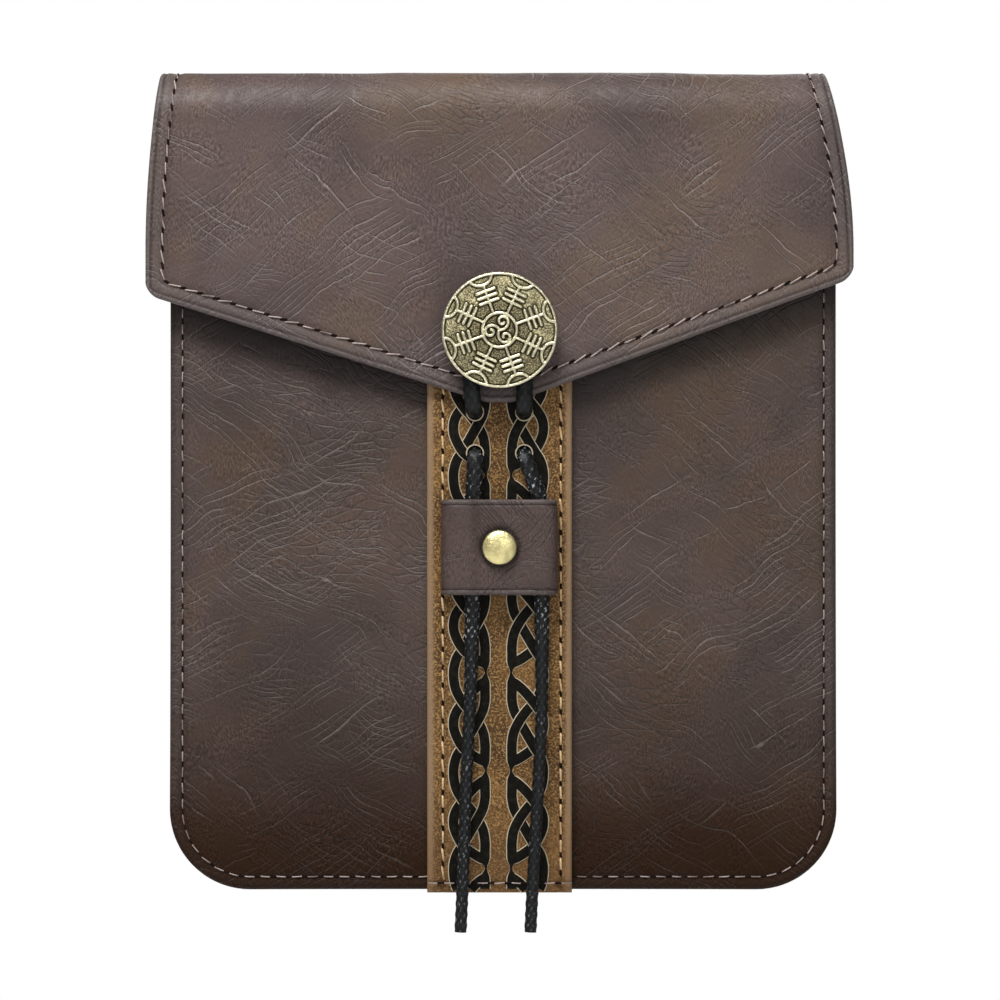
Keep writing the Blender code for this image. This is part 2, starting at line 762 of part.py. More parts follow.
def smooth_points(route, count):
    """Reads evenly spaced points off a smooth curve through the route's points."""
    stops = [Vector(point) for point in route]
    stops = [2 * stops[0] - stops[1]] + stops + [2 * stops[-1] - stops[-2]]
    fine = []
    for at in range(1, len(stops) - 2):
        before, start, end, after = stops[at - 1 : at + 3]
        for step in range(12):
            t = step / 12
            bend = (2 * before - 5 * start + 4 * end - after) * t * t
            twist = (3 * start - before - 3 * end + after) * t**3
            fine.append(0.5 * (2 * start + (end - before) * t + bend + twist))
    fine.append(stops[-2])
    lengths = [0.0]
    for first, second in zip(fine, fine[1:]):
        lengths.append(lengths[-1] + (second - first).length)
    points = []
    at = 0
    for number in range(count):
        target = lengths[-1] * number / (count - 1)
        while at < len(fine) - 2 and lengths[at + 1] < target:
            at += 1
        share = (target - lengths[at]) / (lengths[at + 1] - lengths[at])
        points.append(fine[at].lerp(fine[at + 1], share))
    return points


def add_cord(name, route, count, parts, cotton):
    """Adds a round cord along a route."""
    curve = bpy.data.curves.new(name, "CURVE")
    curve.dimensions = "3D"
    curve.bevel_depth = CORD_DIAMETER / 2
    curve.bevel_resolution = 2
    curve.use_fill_caps = True
    line = curve.splines.new("POLY")
    points = smooth_points(route, count)
    line.points.add(len(points) - 1)
    for point, place in zip(line.points, points):
        point.co = (*place, 1)
    return new_object(name, curve, parts, cotton)


def loop_profile():
    """(z, y) of a belt loop's outer face, from its upper tab down to its lower tab."""
    tab_y = BACK_Y + GAP + LOOP_LEATHER
    out_y = BACK_Y + BELT_THICKNESS + LOOP_LEATHER
    half = BELT_HEIGHT / 2
    upper = [(half + LOOP_BEND + LOOP_TAB, tab_y)]
    for step in range(5):
        share = step / 4
        z = half + LOOP_BEND * (1 - share)
        upper.append((z, tab_y + (out_y - tab_y) * smooth_step(share)))
    return upper + [(-z, y) for z, y in reversed(upper)]


def add_belt_loops(parts, leather):
    """Adds the two belt loops on the back panel."""
    for name, side in (("belt_loop_left", -1), ("belt_loop_right", 1)):
        middle = side * LOOP_SPACING / 2
        edges = (middle - LOOP_WIDTH / 2, middle + LOOP_WIDTH / 2)
        rows = [[(x, y, z) for x in edges] for z, y in loop_profile()]
        leather_piece(name, rows, LOOP_LEATHER, parts, leather)


def main():
    """Builds the pouch."""
    clear_scene()
    parts = new_collection("belt_pouch")
    helpers = new_collection("belt_pouch_cutters", is_helper=True)
    brown = new_material("dark_brown_leather", (0.085, 0.060, 0.052), 0.48)
    tan = new_material("tan_leather", (0.32, 0.19, 0.09), 0.60)
    brass = new_material("antique_brass", (0.62, 0.53, 0.29), 0.32, 1.0)
    cotton = new_material("waxed_black_cord", (0.014, 0.015, 0.016), 0.55)
    front = add_panels(parts, brown)
    add_gusset(parts, brown)
    add_flap(parts, helpers, brown)
    strap = add_strap(parts, tan)
    cut_front_holes(front, strap, helpers)
    add_keeper(parts, helpers, brown)
    add_rivet(parts, brass)
    add_concho(parts, helpers, brass)
    add_cord("closure_cord", CLOSURE_ROUTE, CLOSURE_STEPS, parts, cotton)
    add_cord("left_tail", LEFT_TAIL_ROUTE, TAIL_STEPS, parts, cotton)
    add_cord("right_tail", RIGHT_TAIL_ROUTE, TAIL_STEPS, parts, cotton)
    add_belt_loops(parts, brown)


main()
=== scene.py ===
"""Looks of a medieval belt pouch of dark leather.

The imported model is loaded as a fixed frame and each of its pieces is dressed: crowned leather panels
with sewn rims, a pointed flap, a tan centre strap with a plaited ornament, a keeper over a waxed
cord, a brass concho with raised ornament and a domed rivet. Lengths are metres.
"""

import logging
import math
from collections.abc import Callable
from dataclasses import dataclass, field
from enum import Enum

import bmesh
import bpy
import numpy as np
from mathutils import Matrix, Vector


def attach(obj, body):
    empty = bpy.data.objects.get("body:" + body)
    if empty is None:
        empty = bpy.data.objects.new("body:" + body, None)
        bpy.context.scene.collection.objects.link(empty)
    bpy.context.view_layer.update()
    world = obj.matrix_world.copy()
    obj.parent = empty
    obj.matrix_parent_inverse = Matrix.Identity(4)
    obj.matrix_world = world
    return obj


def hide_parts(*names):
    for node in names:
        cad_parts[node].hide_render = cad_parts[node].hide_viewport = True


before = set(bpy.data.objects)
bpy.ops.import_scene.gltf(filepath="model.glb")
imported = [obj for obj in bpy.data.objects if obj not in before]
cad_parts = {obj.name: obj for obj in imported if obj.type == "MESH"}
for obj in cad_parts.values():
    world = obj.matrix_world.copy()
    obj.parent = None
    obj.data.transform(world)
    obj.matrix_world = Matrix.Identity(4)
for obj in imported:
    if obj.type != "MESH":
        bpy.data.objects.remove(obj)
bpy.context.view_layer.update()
LOG = logging.getLogger("belt_pouch")
Array = np.ndarray
Colour = tuple[float, float, float]
Spot = tuple[float, float, float]
Places = list[tuple[float, float]]
Surface = Callable[[Array, Array], Array]
Inputs = dict[str | int, object]
Material = bpy.types.Material
Mesh = bpy.types.Mesh
Object = bpy.types.Object
Socket = bpy.types.NodeSocket


class Slot(Enum):
    """Names of material slots."""

    BROWN = "brown_leather"
    TAN = "tan_leather"
    BRASS = "brass"
    CORD = "cord"


class Side(Enum):
    """A side of the pouch as its front is looked at."""

    LEFT = -1
    RIGHT = 1


def smooth_step(share: Array | float) -> Array:
    """Eases from 0 to 1."""
    share = np.clip(share, 0.0, 1.0)
    return share * share * (3 - 2 * share)


def hump(distance: Array | float, width: float) -> Array:
    """A smooth rise of 1 where the distance is 0, which fades over a width."""
    return np.exp(-((np.asarray(distance) / width) ** 2))


def swell(x: Array, z: Array, size: float, seed: int) -> Array:
    """Works out a gentle uneven surface.

    Args:
        x: places across.
        z: places up.
        size: length of a wave.
        seed: picks the waves.

    Returns:
        Heights from about 0 to 1.
    """
    picker = np.random.default_rng(seed)
    total = np.zeros_like(x + z, dtype=float)
    for _ in range(9):
        turn, phase = picker.uniform(0, 2 * np.pi, 2)
        wave = size * picker.uniform(0.6, 1.6)
        along = x * np.cos(turn) + z * np.sin(turn)
        total += np.sin(2 * np.pi * along / wave + phase)
    return 0.5 + 0.5 * (total / 4.0)


@dataclass(frozen=True)
class PouchForm:
    """Sizes that the pieces share, and the surfaces that they lie on."""

    pouch_height: float = 0.1812
    body_width: float = 0.148
    body_depth: float = 0.030
    body_corner: float = 0.018
    panel_leather: float = 0.002
    mouth_below_roll: float = 0.004
    front_bulge: float = 0.005
    bulge_power: float = 2.6
    bulge_height: float = 0.55
    bulge_end: float = 0.95
    mouth_bulge: float = 0.70
    belt_height: float = 0.046
    belt_thickness: float = 0.006
    loop_drop: float = 0.0367
    flap_width: float = 0.1565
    flap_leather: float = 0.0025
    flap_roll: float = 0.010
    strap_leather: float = 0.002
    shift: float = -0.0008
    gap: float = 0.0003

    @property
    def top_z(self) -> float:
        """Height of the flap's roll."""
        return self.loop_drop + self.belt_height / 2

    @property
    def bottom_z(self) -> float:
        """Height of the body's lower edge."""
        return self.top_z - self.pouch_height

    @property
    def roll_z(self) -> float:
        """Height where the flap's roll starts."""
        return self.top_z - self.flap_roll

    @property
    def mouth_z(self) -> float:
        """Height of the front panel's upper edge."""
        return self.roll_z - self.mouth_below_roll

    @property
    def back_y(self) -> float:
        """Y of the back panel's outer face."""
        return -self.belt_thickness / 2

    @property
    def front_y(self) -> float:
        """Y of the front panel's rim."""
        return self.back_y - self.body_depth

    @property
    def flap_lift(self) -> float:
        """How far the flap's inner face stands off the front."""
        return 2 * self.gap + self.strap_leather

    def bulge(self, x: Array, z: Array, half_width: float) -> Array:
        """Works out how far the front stands out.

        Args:
            x: places across, from the middle of what bulges.
            z: places up.
            half_width: where the bulge ends at the sides.

        Returns:
            Distances towards -Y.
        """
        across = 1 - np.minimum(1.0, np.abs(x) / half_width) ** self.bulge_power
        height = np.clip((z - self.bottom_z) / self.pouch_height, 0.0, 1.0)
        rise = np.sin(np.pi / 2 * height / self.bulge_height)
        fall = smooth_step((height - self.bulge_height) / (self.bulge_end - self.bulge_height))
        along = np.where(height < self.bulge_height, rise, 1 - (1 - self.mouth_bulge) * fall)
        return self.front_bulge * across * along

    def front_face(self, x: Array, z: Array) -> Array:
        """Y of the front panel's outer face."""
        return self.front_y - self.bulge(x, z, self.body_width / 2)

    def strap_face(self, x: Array, z: Array) -> Array:
        """Y of the centre strap's outer face."""
        return self.front_face(x, z) - self.gap - self.strap_leather

    def flap_face(self, x: Array, z: Array) -> Array:
        """Y of the flap's outer face where it hangs down the front."""
        spread = self.bulge(x - self.shift, z, self.flap_width / 2)
        return self.front_y - spread - self.flap_lift - self.flap_leather

    def body_half_width(self, z: Array) -> Array:
        """Half the body's width at a height, less at the rounded bottom corners.

        Args:
            z: places up.

        Returns:
            Half widths.
        """
        below = self.body_corner - np.clip(z - self.bottom_z, 0.0, self.body_corner)
        straight = self.body_width / 2 - self.body_corner
        return straight + np.sqrt(np.maximum(0.0, self.body_corner**2 - below**2))

    def rim_distance(self, x: Array, z: Array) -> Array:
        """How far a place on a body panel is from its sides and bottom.

        Args:
            x: places across.
            z: places up.

        Returns:
            Distances, above 0 inside.
        """
        straight = self.body_width / 2 - self.body_corner
        centre_z = self.bottom_z + self.body_corner
        side = self.body_width / 2 - np.abs(x)
        bottom = z - self.bottom_z
        round_off = self.body_corner - np.hypot(np.abs(x) - straight, centre_z - z)
        in_corner = (np.abs(x) > straight) & (z < centre_z)
        return np.where(in_corner, round_off, np.minimum(side, bottom))

    def rim_path(self, inset: float, top_z: float, spacing: float) -> Places:
        """Walks down the left side, round the bottom and up the right side.

        Args:
            inset: how far inside the outline the path runs.
            top_z: height where it starts and ends.
            spacing: distance between its points.

        Returns:
            Places as (x, z).
        """
        straight = self.body_width / 2 - self.body_corner
        centre_z = self.bottom_z + self.body_corner
        radius = self.body_corner - inset
        side_steps = max(2, round((top_z - centre_z) / spacing))
        corner_steps = max(4, round(np.pi / 2 * radius / spacing))
        half = []
        for z in np.linspace(top_z, centre_z, side_steps, endpoint=False):
            half.append((-straight - radius, float(z)))
        for angle in np.linspace(np.pi, 1.5 * np.pi, corner_steps):
            half.append((-straight + radius * math.cos(angle), centre_z + radius * math.sin(angle)))
        bottom_steps = max(2, round(2 * straight / spacing))
        middle = [
            (float(x), centre_z - radius) for x in np.linspace(-straight, straight, bottom_steps)[1:-1]
        ]
        return half + middle + [(-x, z) for x, z in reversed(half)]


FORM = PouchForm()
BACKWARDS = np.array((0.0, 1.0, 0.0))


class NodeBuilder:
    """Adds nodes to a tree and links them."""

    def __init__(self, tree: bpy.types.NodeTree) -> None:
        """Keeps the tree."""
        self.tree = tree

    def feed(self, socket: Socket, value: object) -> None:
        """Links a socket to another one, or sets its value.

        Args:
            socket: a node's input.
            value: another node's output, or a plain value.
        """
        if isinstance(value, Socket):
            self.tree.links.new(value, socket)
        else:
            socket.default_value = value

    def node(self, kind: str, inputs: Inputs, **settings: object) -> bpy.types.Node:
        """Adds one node.

        Args:
            kind: its type.
            inputs: what its sockets are given, by name or number.
            settings: its properties.

        Returns:
            The node.
        """
        made = self.tree.nodes.new(kind)
        for name, value in settings.items():
            setattr(made, name, value)
        for name, value in inputs.items():
            self.feed(made.inputs[name], value)
        return made

    def step(self, kind: str, inputs: Inputs, output: int | str = 0, **settings: object) -> Socket:
        """Adds one node and hands on one of its outputs."""
        return self.node(kind, inputs, **settings).outputs[output]

    def maths(self, operation: str, first: object, second: object = 0.0) -> Socket:
        """One arithmetic step."""
        return self.step("ShaderNodeMath", {0: first, 1: second}, operation=operation)

    def times(self, first: object, second: object) -> Socket:
        """The product of two values."""
        return self.maths("MULTIPLY", first, second)


class ShaderTree(NodeBuilder):
    """Builds the nodes of one finish."""

    def __init__(self, name: str) -> None:
        """Makes the finish with its Principled shader.

        Args:
            name: the finish's name.
        """
        self.material = bpy.data.materials.new(name)
        self.material.use_nodes = True
        super().__init__(self.material.node_tree)
        self.shader = self.tree.nodes["Principled BSDF"]

    def mapped(self, place: Socket, stretch: Spot, turns: Spot = (0, 0, 0)) -> Socket:
        """Coordinates that are turned and then stretched."""
        given = {"Vector": place, "Rotation": turns, "Scale": stretch}
        return self.step("ShaderNodeMapping", given, vector_type="TEXTURE")

    def place(self, stretch: Spot = (1, 1, 1), turn: float = 0.0) -> Socket:
        """Object coordinates, turned in the plane of the front and then stretched."""
        return self.mapped(self.step("ShaderNodeTexCoord", {}, "Object"), stretch, (0, turn, 0))

    def noise(self, place: Socket, size: float, detail: float = 2.0, warp: float = 0.0) -> Socket:
        """Soft noise with features of a given size."""
        given = {"Vector": place, "Scale": 1 / size, "Detail": detail, "Distortion": warp}
        return self.step("ShaderNodeTexNoise", given, "Fac")

    def noises(self, place: Socket, size: float, detail: float) -> Socket:
        """Three noises with features of a given size, as a colour."""
        given = {"Vector": place, "Scale": 1 / size, "Detail": detail}
        return self.step("ShaderNodeTexNoise", given, "Color")

    def parts(self, colour: Socket) -> list[Socket]:
        """The three parts of a colour."""
        return list(self.node("ShaderNodeSeparateColor", {"Color": colour}).outputs)

    def warped(self, place: Socket, size: float, reach: float) -> Socket:
        """Coordinates pushed about by noise."""
        given = {0: self.noises(place, size, 1.0), 1: (reach, reach, reach), 2: place}
        return self.step("ShaderNodeVectorMath", given, operation="MULTIPLY_ADD")

    def cells(self, place: Socket, size: float) -> Socket:
        """Distance to the borders of small cells."""
        kind = {"voronoi_dimensions": "2D", "feature": "DISTANCE_TO_EDGE"}
        return self.step("ShaderNodeTexVoronoi", {"Vector": place, "Scale": 1 / size}, "Distance", **kind)

    def bundle(self, place: Socket, spacing: float) -> tuple[Socket, Socket]:
        """Distance to lines that run along X, wander and end here and there.

        Args:
            place: coordinates, stretched along X.
            spacing: mean distance between the lines.

        Returns:
            The distance as a share of the spacing, and where the lines show.
        """
        wander, shown, _ = self.parts(self.noises(place, 2.6 * spacing, 1.5))
        across = self.step("ShaderNodeSeparateXYZ", {"Vector": place}, "Y")
        turns = self.maths("ADD", self.times(across, 1 / spacing), self.times(wander, 2.4))
        apart = self.maths("ABSOLUTE", self.maths("SUBTRACT", self.maths("FRACT", turns), 0.5))
        return apart, self.ramp(shown, 0.44, 0.56)

    def ramp(
        self, value: Socket, low: float, high: float, start: float = 0.0, end: float = 1.0
    ) -> Socket:
        """Eases a value between two limits.

        Args:
            value: what is eased.
            low: the value where the result is at its start.
            high: the value where the result is at its end.
            start: the result's start.
            end: the result's end.

        Returns:
            The result.
        """
        given = {"Value": value, "From Min": low, "From Max": high, "To Min": start, "To Max": end}
        return self.step("ShaderNodeMapRange", given, "Result", interpolation_type="SMOOTHSTEP")

    def blend(self, share: object, first: object, second: object, how: str = "MIX") -> Socket:
        """Mixes two colours.

        Args:
            share: how much of the second one there is.
            first: a colour or a socket.
            second: a colour or a socket.
            how: the kind of mix.

        Returns:
            The mixed colour.
        """
        made = self.node("ShaderNodeMix", {"Factor": share}, data_type="RGBA", blend_type=how)
        colours = [socket for socket in made.inputs if socket.type == "RGBA"]
        for socket, colour in zip(colours, (first, second)):
            self.feed(socket, (*colour, 1.0) if isinstance(colour, tuple) else colour)
        return next(socket for socket in made.outputs if socket.type == "RGBA")

    def grey(self, value: Socket) -> Socket:
        """A grey of a given strength."""
        return self.step("ShaderNodeCombineColor", {0: value, 1: value, 2: value})

    def attribute(self, name: str) -> Socket:
        """A value kept on the mesh."""
        return self.step("ShaderNodeAttribute", {}, "Fac", attribute_name=name)

    def bump(self, height: Socket, reach: float) -> Socket:
        """Relief whose height is a value times a reach in metres."""
        return self.step("ShaderNodeBump", {"Strength": 1.0, "Distance": reach, "Height": height})

    def finish(
        self, colour: Socket, roughness: object, normal: Socket | None = None,
        sheen: object = 0.5, metallic: float = 0.0,
    ) -> Material:
        """Gives the shader its looks.

        Args:
            colour: its base colour.
            roughness: a value or a socket.
            normal: the relief, if it has any.
            sheen: its specular level, a value or a socket.
            metallic: 1 for a metal.

        Returns:
            The finish.
        """
        looks = {
            "Base Color": colour,
            "Roughness": roughness,
            "Specular IOR Level": sheen,
            "Metallic": metallic,
        }
        if normal is not None:
            looks["Normal"] = normal
        for name, value in looks.items():
            self.feed(self.shader.inputs[name], value)
        return self.material


@dataclass(frozen=True)
class CreaseField:
    """One set of fine creases that run the same way and lie in clusters."""

    turn: float
    spacing: float
    stretch: float
    start: float
    is_network: bool = False


@dataclass(frozen=True)
class DarkLeather:
    """Dark brown leather with soft clouds, long fine creases and smooth rims, with painted shade in its
    grooves and towards the bottom.
    """

    name: str = "dark_brown_leather"
    base: Colour = (0.080, 0.053, 0.047)
    deep: Colour = (0.052, 0.034, 0.030)
    warm: Colour = (0.090, 0.053, 0.028)
    shadow: Colour = (0.014, 0.008, 0.006)
    rim: Colour = (0.056, 0.041, 0.038)
    # Colour of the painted shade towards the bottom.
    low: Colour = (0.024, 0.0105, 0.0045)
    crease: Colour = (0.245, 0.193, 0.170)
    line_width: float = 0.00026
    groove_width: float = 0.00050
    fields: tuple[CreaseField, ...] = (
        CreaseField(-0.62, 0.0011, 9.0, 0.38),
        CreaseField(0.55, 0.0014, 8.0, 0.42),
        CreaseField(-0.32, 0.0017, 3.4, 0.43, True),
    )

    def plane(self, tree: ShaderTree) -> Socket:
        """Lays out coordinates across and up, softly bent, which also change along the depth.

        Args:
            tree: the finish's nodes.

        Returns:
            The coordinates.
        """
        bent = tree.warped(tree.warped(tree.place(), 0.022, 0.0100), 0.0030, 0.0007)
        ways = {}
        for number, way in enumerate(((1.0, 0.8, 0.0), (0.0, 0.35, 1.0))):
            given = {0: bent, 1: way}
            ways[number] = tree.step("ShaderNodeVectorMath", given, "Value", operation="DOT_PRODUCT")
        return tree.step("ShaderNodeCombineXYZ", ways)

    def creases(self, tree: ShaderTree, plane: Socket) -> tuple[Socket, Socket]:
        """Makes all the creases.

        Args:
            tree: the finish's nodes.
            plane: coordinates across and up.

        Returns:
            The strength of the pale lines, and of the grooves that they lie in, which are pressed in as
            relief and darkened as painted shade.
        """
        line = 0.0
        groove_and_painted_shade = 0.0
        for part, creases in zip(tree.parts(tree.noises(tree.place(), 0.021, 2.0)), self.fields):
            long_way = tree.mapped(plane, (creases.stretch, 1, 1), (0, 0, creases.turn))
            mask = tree.ramp(part, creases.start, creases.start + 0.16)
            if creases.is_network:
                edge = tree.cells(long_way, creases.spacing)
                mask = tree.times(mask, 0.8)
            else:
                edge, shown = tree.bundle(long_way, creases.spacing)
                mask = tree.times(mask, shown)
            line_end = self.line_width / 2 / creases.spacing
            groove_end = self.groove_width / 2 / creases.spacing
            narrow = tree.times(tree.ramp(edge, 0.0, line_end, 1.0, 0.0), mask)
            wide = tree.times(tree.ramp(edge, 0.0, groove_end, 1.0, 0.0), mask)
            if creases.is_network:
                narrow = tree.times(narrow, 0.30)
            line = tree.maths("MAXIMUM", line, narrow)
            groove_and_painted_shade = tree.maths("MAXIMUM", groove_and_painted_shade, wide)
        return line, groove_and_painted_shade

    def make(self) -> Material:
        """Builds the finish.

        Returns:
            The finish.
        """
        tree = ShaderTree(self.name)
        place = tree.place()
        cloud = tree.ramp(tree.noise(place, 0.034, 4.0, 0.3), 0.36, 0.62)
        patch = tree.ramp(tree.noise(tree.place((1, 1, 1.5), 0.7), 0.030, 4.0, 0.5), 0.42, 0.70)
        soft = tree.noise(place, 0.0030, 3.0, 0.8)
        plane = self.plane(tree)
        grain = tree.noise(tree.mapped(plane, (1.0, 2.2, 1.0)), 0.00036, 2.0)
        line, groove_and_painted_shade = self.creases(tree, plane)
        low = tree.attribute("low")
        colour = tree.blend(cloud, self.deep, self.base)
        colour = tree.blend(tree.times(patch, 0.62), colour, self.warm)
        # Painted shade: darker towards the bottom.
        colour = tree.blend(low, colour, self.low)
        # Painted shade: the crease grooves are darkened towards the shadow colour.
        colour = tree.blend(tree.times(groove_and_painted_shade, 0.62), colour, self.shadow)
        # The pale lines fade in the painted bottom shade.
        pale = tree.times(line, tree.ramp(low, 0.0, 1.0, 0.62, 0.16))
        colour = tree.blend(pale, colour, self.crease)
        # The rims darken in the painted bottom shade.
        rim = tree.times(tree.attribute("rim"), tree.ramp(low, 0.0, 0.8, 0.75, 0.10))
        colour = tree.blend(rim, colour, self.rim)
        # Painted shade: seams, pressed lines, the gusset's fold, the ring round the rivet and the body just
        # under the flap are darkened.
        colour = tree.blend(tree.attribute("groove_and_painted_shade"), colour, self.shadow)
        speck = tree.ramp(grain, 0.34, 0.70, 0.64, 1.50)
        area = tree.ramp(tree.noise(place, 0.009, 3.0, 0.6), 0.40, 0.62, 0.30, 1.0)
        colour = tree.blend(area, colour, tree.grey(speck), "MULTIPLY")
        relief = tree.maths("SUBTRACT", tree.times(soft, 1.3), groove_and_painted_shade)
        relief = tree.maths("ADD", relief, tree.times(grain, 0.5))
        roughness = tree.ramp(soft, 0.3, 0.7, 0.48, 0.62)
        # The sheen drops in the painted bottom shade.
        sheen = tree.ramp(low, 0.0, 0.8, 0.36, 0.05)
        return tree.finish(colour, roughness, tree.bump(relief, 0.00014), sheen)


@dataclass(frozen=True)
class TanLeather:
    """Tan leather with a fine curled grain and pale cut edges, with painted shade in its grooves and
    towards the bottom.
    """

    name: str = "tan_leather"
    base: Colour = (0.222, 0.113, 0.033)
    dark: Colour = (0.078, 0.036, 0.011)
    light: Colour = (0.450, 0.262, 0.092)
    rim: Colour = (0.285, 0.190, 0.110)
    # Colour of the painted shade towards the bottom.
    low: Colour = (0.185, 0.090, 0.030)

    def make(self) -> Material:
        """Builds the finish.

        Returns:
            The finish.
        """
        tree = ShaderTree(self.name)
        place = tree.place()
        curl = tree.maths("ABSOLUTE", tree.maths("SUBTRACT", tree.noise(place, 0.0010, 2.0, 1.4), 0.5))
        vein = tree.ramp(curl, 0.0, 0.050, 1.0, 0.0)
        grain = tree.noise(place, 0.00042, 2.0)
        rim = tree.times(tree.attribute("rim"), 0.85)
        cloud = tree.ramp(tree.noise(place, 0.010, 4.0, 0.5), 0.35, 0.68)
        colour = tree.blend(cloud, self.dark, self.base)
        colour = tree.blend(tree.ramp(grain, 0.46, 0.66, 0.0, 0.85), colour, self.light)
        colour = tree.blend(tree.ramp(grain, 0.34, 0.48, 0.70, 0.0), colour, self.dark)
        colour = tree.blend(tree.times(vein, 0.50), colour, self.dark)
        colour = tree.blend(rim, colour, self.rim)
        # Painted shade: darker towards the bottom.
        colour = tree.blend(tree.attribute("low"), colour, self.low)
        # Painted shade: the seams, the hem and the rims of the cord holes are darkened.
        colour = tree.blend(tree.attribute("groove_and_painted_shade"), colour, self.dark)
        smooth = tree.maths("SUBTRACT", 1.0, rim)
        relief = tree.times(tree.maths("SUBTRACT", grain, vein), smooth)
        roughness = tree.ramp(grain, 0.3, 0.7, 0.66, 0.50)
        return tree.finish(colour, roughness, tree.bump(relief, 0.00007), 0.26)


@dataclass(frozen=True)
class PlaitDye:
    """Black plaited strands with fine pale outlines."""

    name: str = "plait_dye"
    black: Colour = (0.0045, 0.0040, 0.0025)
    # Colour of the plait's worn patches, which are wear only.
    wear_and_painted_highlight: Colour = (0.013, 0.011, 0.007)
    outline: Colour = (0.520, 0.440, 0.310)

    def make(self) -> Material:
        """Builds the finish.

        Returns:
            The finish.
        """
        tree = ShaderTree(self.name)
        place = tree.place()
        wear = tree.ramp(tree.noise(place, 0.0012, 3.0), 0.45, 0.72)
        colour = tree.blend(wear, self.black, self.wear_and_painted_highlight)
        border = tree.ramp(tree.attribute("across"), 0.82, 0.87)
        colour = tree.blend(border, colour, self.outline)
        relief = tree.bump(tree.noise(place, 0.0004, 2.0), 0.00004)
        return tree.finish(colour, 0.66, relief, 0.10)


@dataclass(frozen=True)
class Brass:
    """Antique brass, bright where it is raised and dark in the field."""

    name: str = "antique_brass"
    bright: Colour = (0.98, 0.92, 0.66)
    field: Colour = (0.100, 0.082, 0.048)
    stipple: Colour = (0.420, 0.370, 0.215)
    # Colour of the rubbed field, from wear and from painted highlight.
    wear_and_painted_highlight: Colour = (0.99, 0.91, 0.55)
    # Dark patina colour, also used for the painted shadow on the concho's side wall.
    outline: Colour = (0.012, 0.009, 0.005)
    streak: Spot = (1.0, 1.0, 1.0)
    gloss: float = 0.30

    def make(self) -> Material:
        """Builds the finish.

        Returns:
            The finish.
        """
        tree = ShaderTree(self.name)
        place = tree.place()
        raised = tree.ramp(tree.attribute("raised"), 0.40, 0.70)
        dots = tree.ramp(tree.noise(place, 0.00032, 1.0), 0.45, 0.62)
        patch = tree.ramp(tree.noise(place, 0.0032, 3.0), 0.40, 0.62, 0.25, 1.0)
        ground = tree.blend(dots, self.field, self.stipple)
        rubbed_and_painted_highlight = tree.blend(dots, self.stipple, self.wear_and_painted_highlight)
        # The field turns to the rubbed colour where the mesh asks: on the concho, from wear towards the rim
        # and as a painted highlight towards the top.
        ground = tree.blend(tree.times(tree.attribute("wear_and_painted_highlight"), patch), ground, rubbed_and_painted_highlight)
        # Dark patina at the foot of the raised lines, and painted shadow on the concho's side wall.
        ground = tree.blend(tree.attribute("outline"), ground, self.outline)
        tarnish = tree.ramp(tree.noise(tree.place(self.streak), 0.0016, 3.0), 0.42, 0.72, 1.0, 0.70)
        crest = tree.blend(1.0, self.bright, tree.grey(tarnish), "MULTIPLY")
        colour = tree.blend(raised, ground, crest)
        roughness = tree.ramp(raised, 0.0, 1.0, 0.50, self.gloss)
        relief = tree.maths("ADD", dots, tree.noise(place, 0.0009, 2.0))
        return tree.finish(colour, roughness, tree.bump(relief, 0.00003), metallic=1.0)


@dataclass(frozen=True)
class WaxedCord:
    """Black waxed braid whose crests are lighter and flecked with bluish specks, as a painted highlight."""

    name: str = "waxed_cord"
    black: Colour = (0.0035, 0.0040, 0.0045)
    crest: Colour = (0.012, 0.013, 0.014)
    painted_crest_highlight: Colour = (0.42, 0.44, 0.47)

    def make(self) -> Material:
        """Builds the finish.

        Returns:
            The finish.
        """
        tree = ShaderTree(self.name)
        place = tree.place()
        braid = tree.attribute("braid")
        # Painted highlight: the crests of the braid are lighter.
        colour = tree.blend(tree.ramp(braid, 0.50, 0.95), self.black, self.crest)
        speck = tree.ramp(tree.noise(tree.place((1, 1, 2.2), 0.5), 0.00035, 2.0), 0.54, 0.64)
        patch = tree.ramp(tree.noise(place, 0.006, 2.0), 0.40, 0.62, 0.25, 1.0)
        # Painted highlight: pale bluish specks on the crests, in patches.
        speck = tree.times(speck, tree.ramp(braid, 0.40, 0.85))
        speck = tree.times(speck, tree.times(patch, tree.attribute("painted_crest_highlight")))
        colour = tree.blend(speck, colour, self.painted_crest_highlight)
        relief = tree.bump(tree.noise(place, 0.0003, 2.0), 0.00006)
        return tree.finish(colour, 0.46, relief, 0.30)


@dataclass(frozen=True)
class Thread:
    """Waxed sewing thread."""

    name: str
    pale: Colour
    dull: Colour

    def make(self) -> Material:
        """Builds the finish.

        Returns:
            The finish.
        """
        tree = ShaderTree(self.name)
        place = tree.place()
        soil = tree.ramp(tree.noise(place, 0.004, 3.0), 0.40, 0.70)
        colour = tree.blend(soil, self.pale, self.dull)
        twist = tree.noise(tree.place((1, 1, 1), 0.8), 0.00022, 1.0)
        colour = tree.blend(1.0, colour, tree.grey(tree.ramp(twist, 0.35, 0.60, 0.62, 1.0)), "MULTIPLY")
        return tree.finish(colour, 0.62, tree.bump(twist, 0.00005))


@dataclass(frozen=True)
class NeedleHoleShade:
    """Painted shade: a dark sliver that stands in for the shadow inside a needle hole."""

    name: str = "needle_hole"
    dark: Colour = (0.006, 0.003, 0.002)
    warm: Colour = (0.020, 0.008, 0.005)

    def make(self) -> Material:
        """Builds the finish.

        Returns:
            The finish.
        """
        tree = ShaderTree(self.name)
        shade = tree.ramp(tree.noise(tree.place(), 0.003, 2.0), 0.4, 0.65)
        return tree.finish(tree.blend(shade, self.dark, self.warm), 0.85, sheen=0.1)


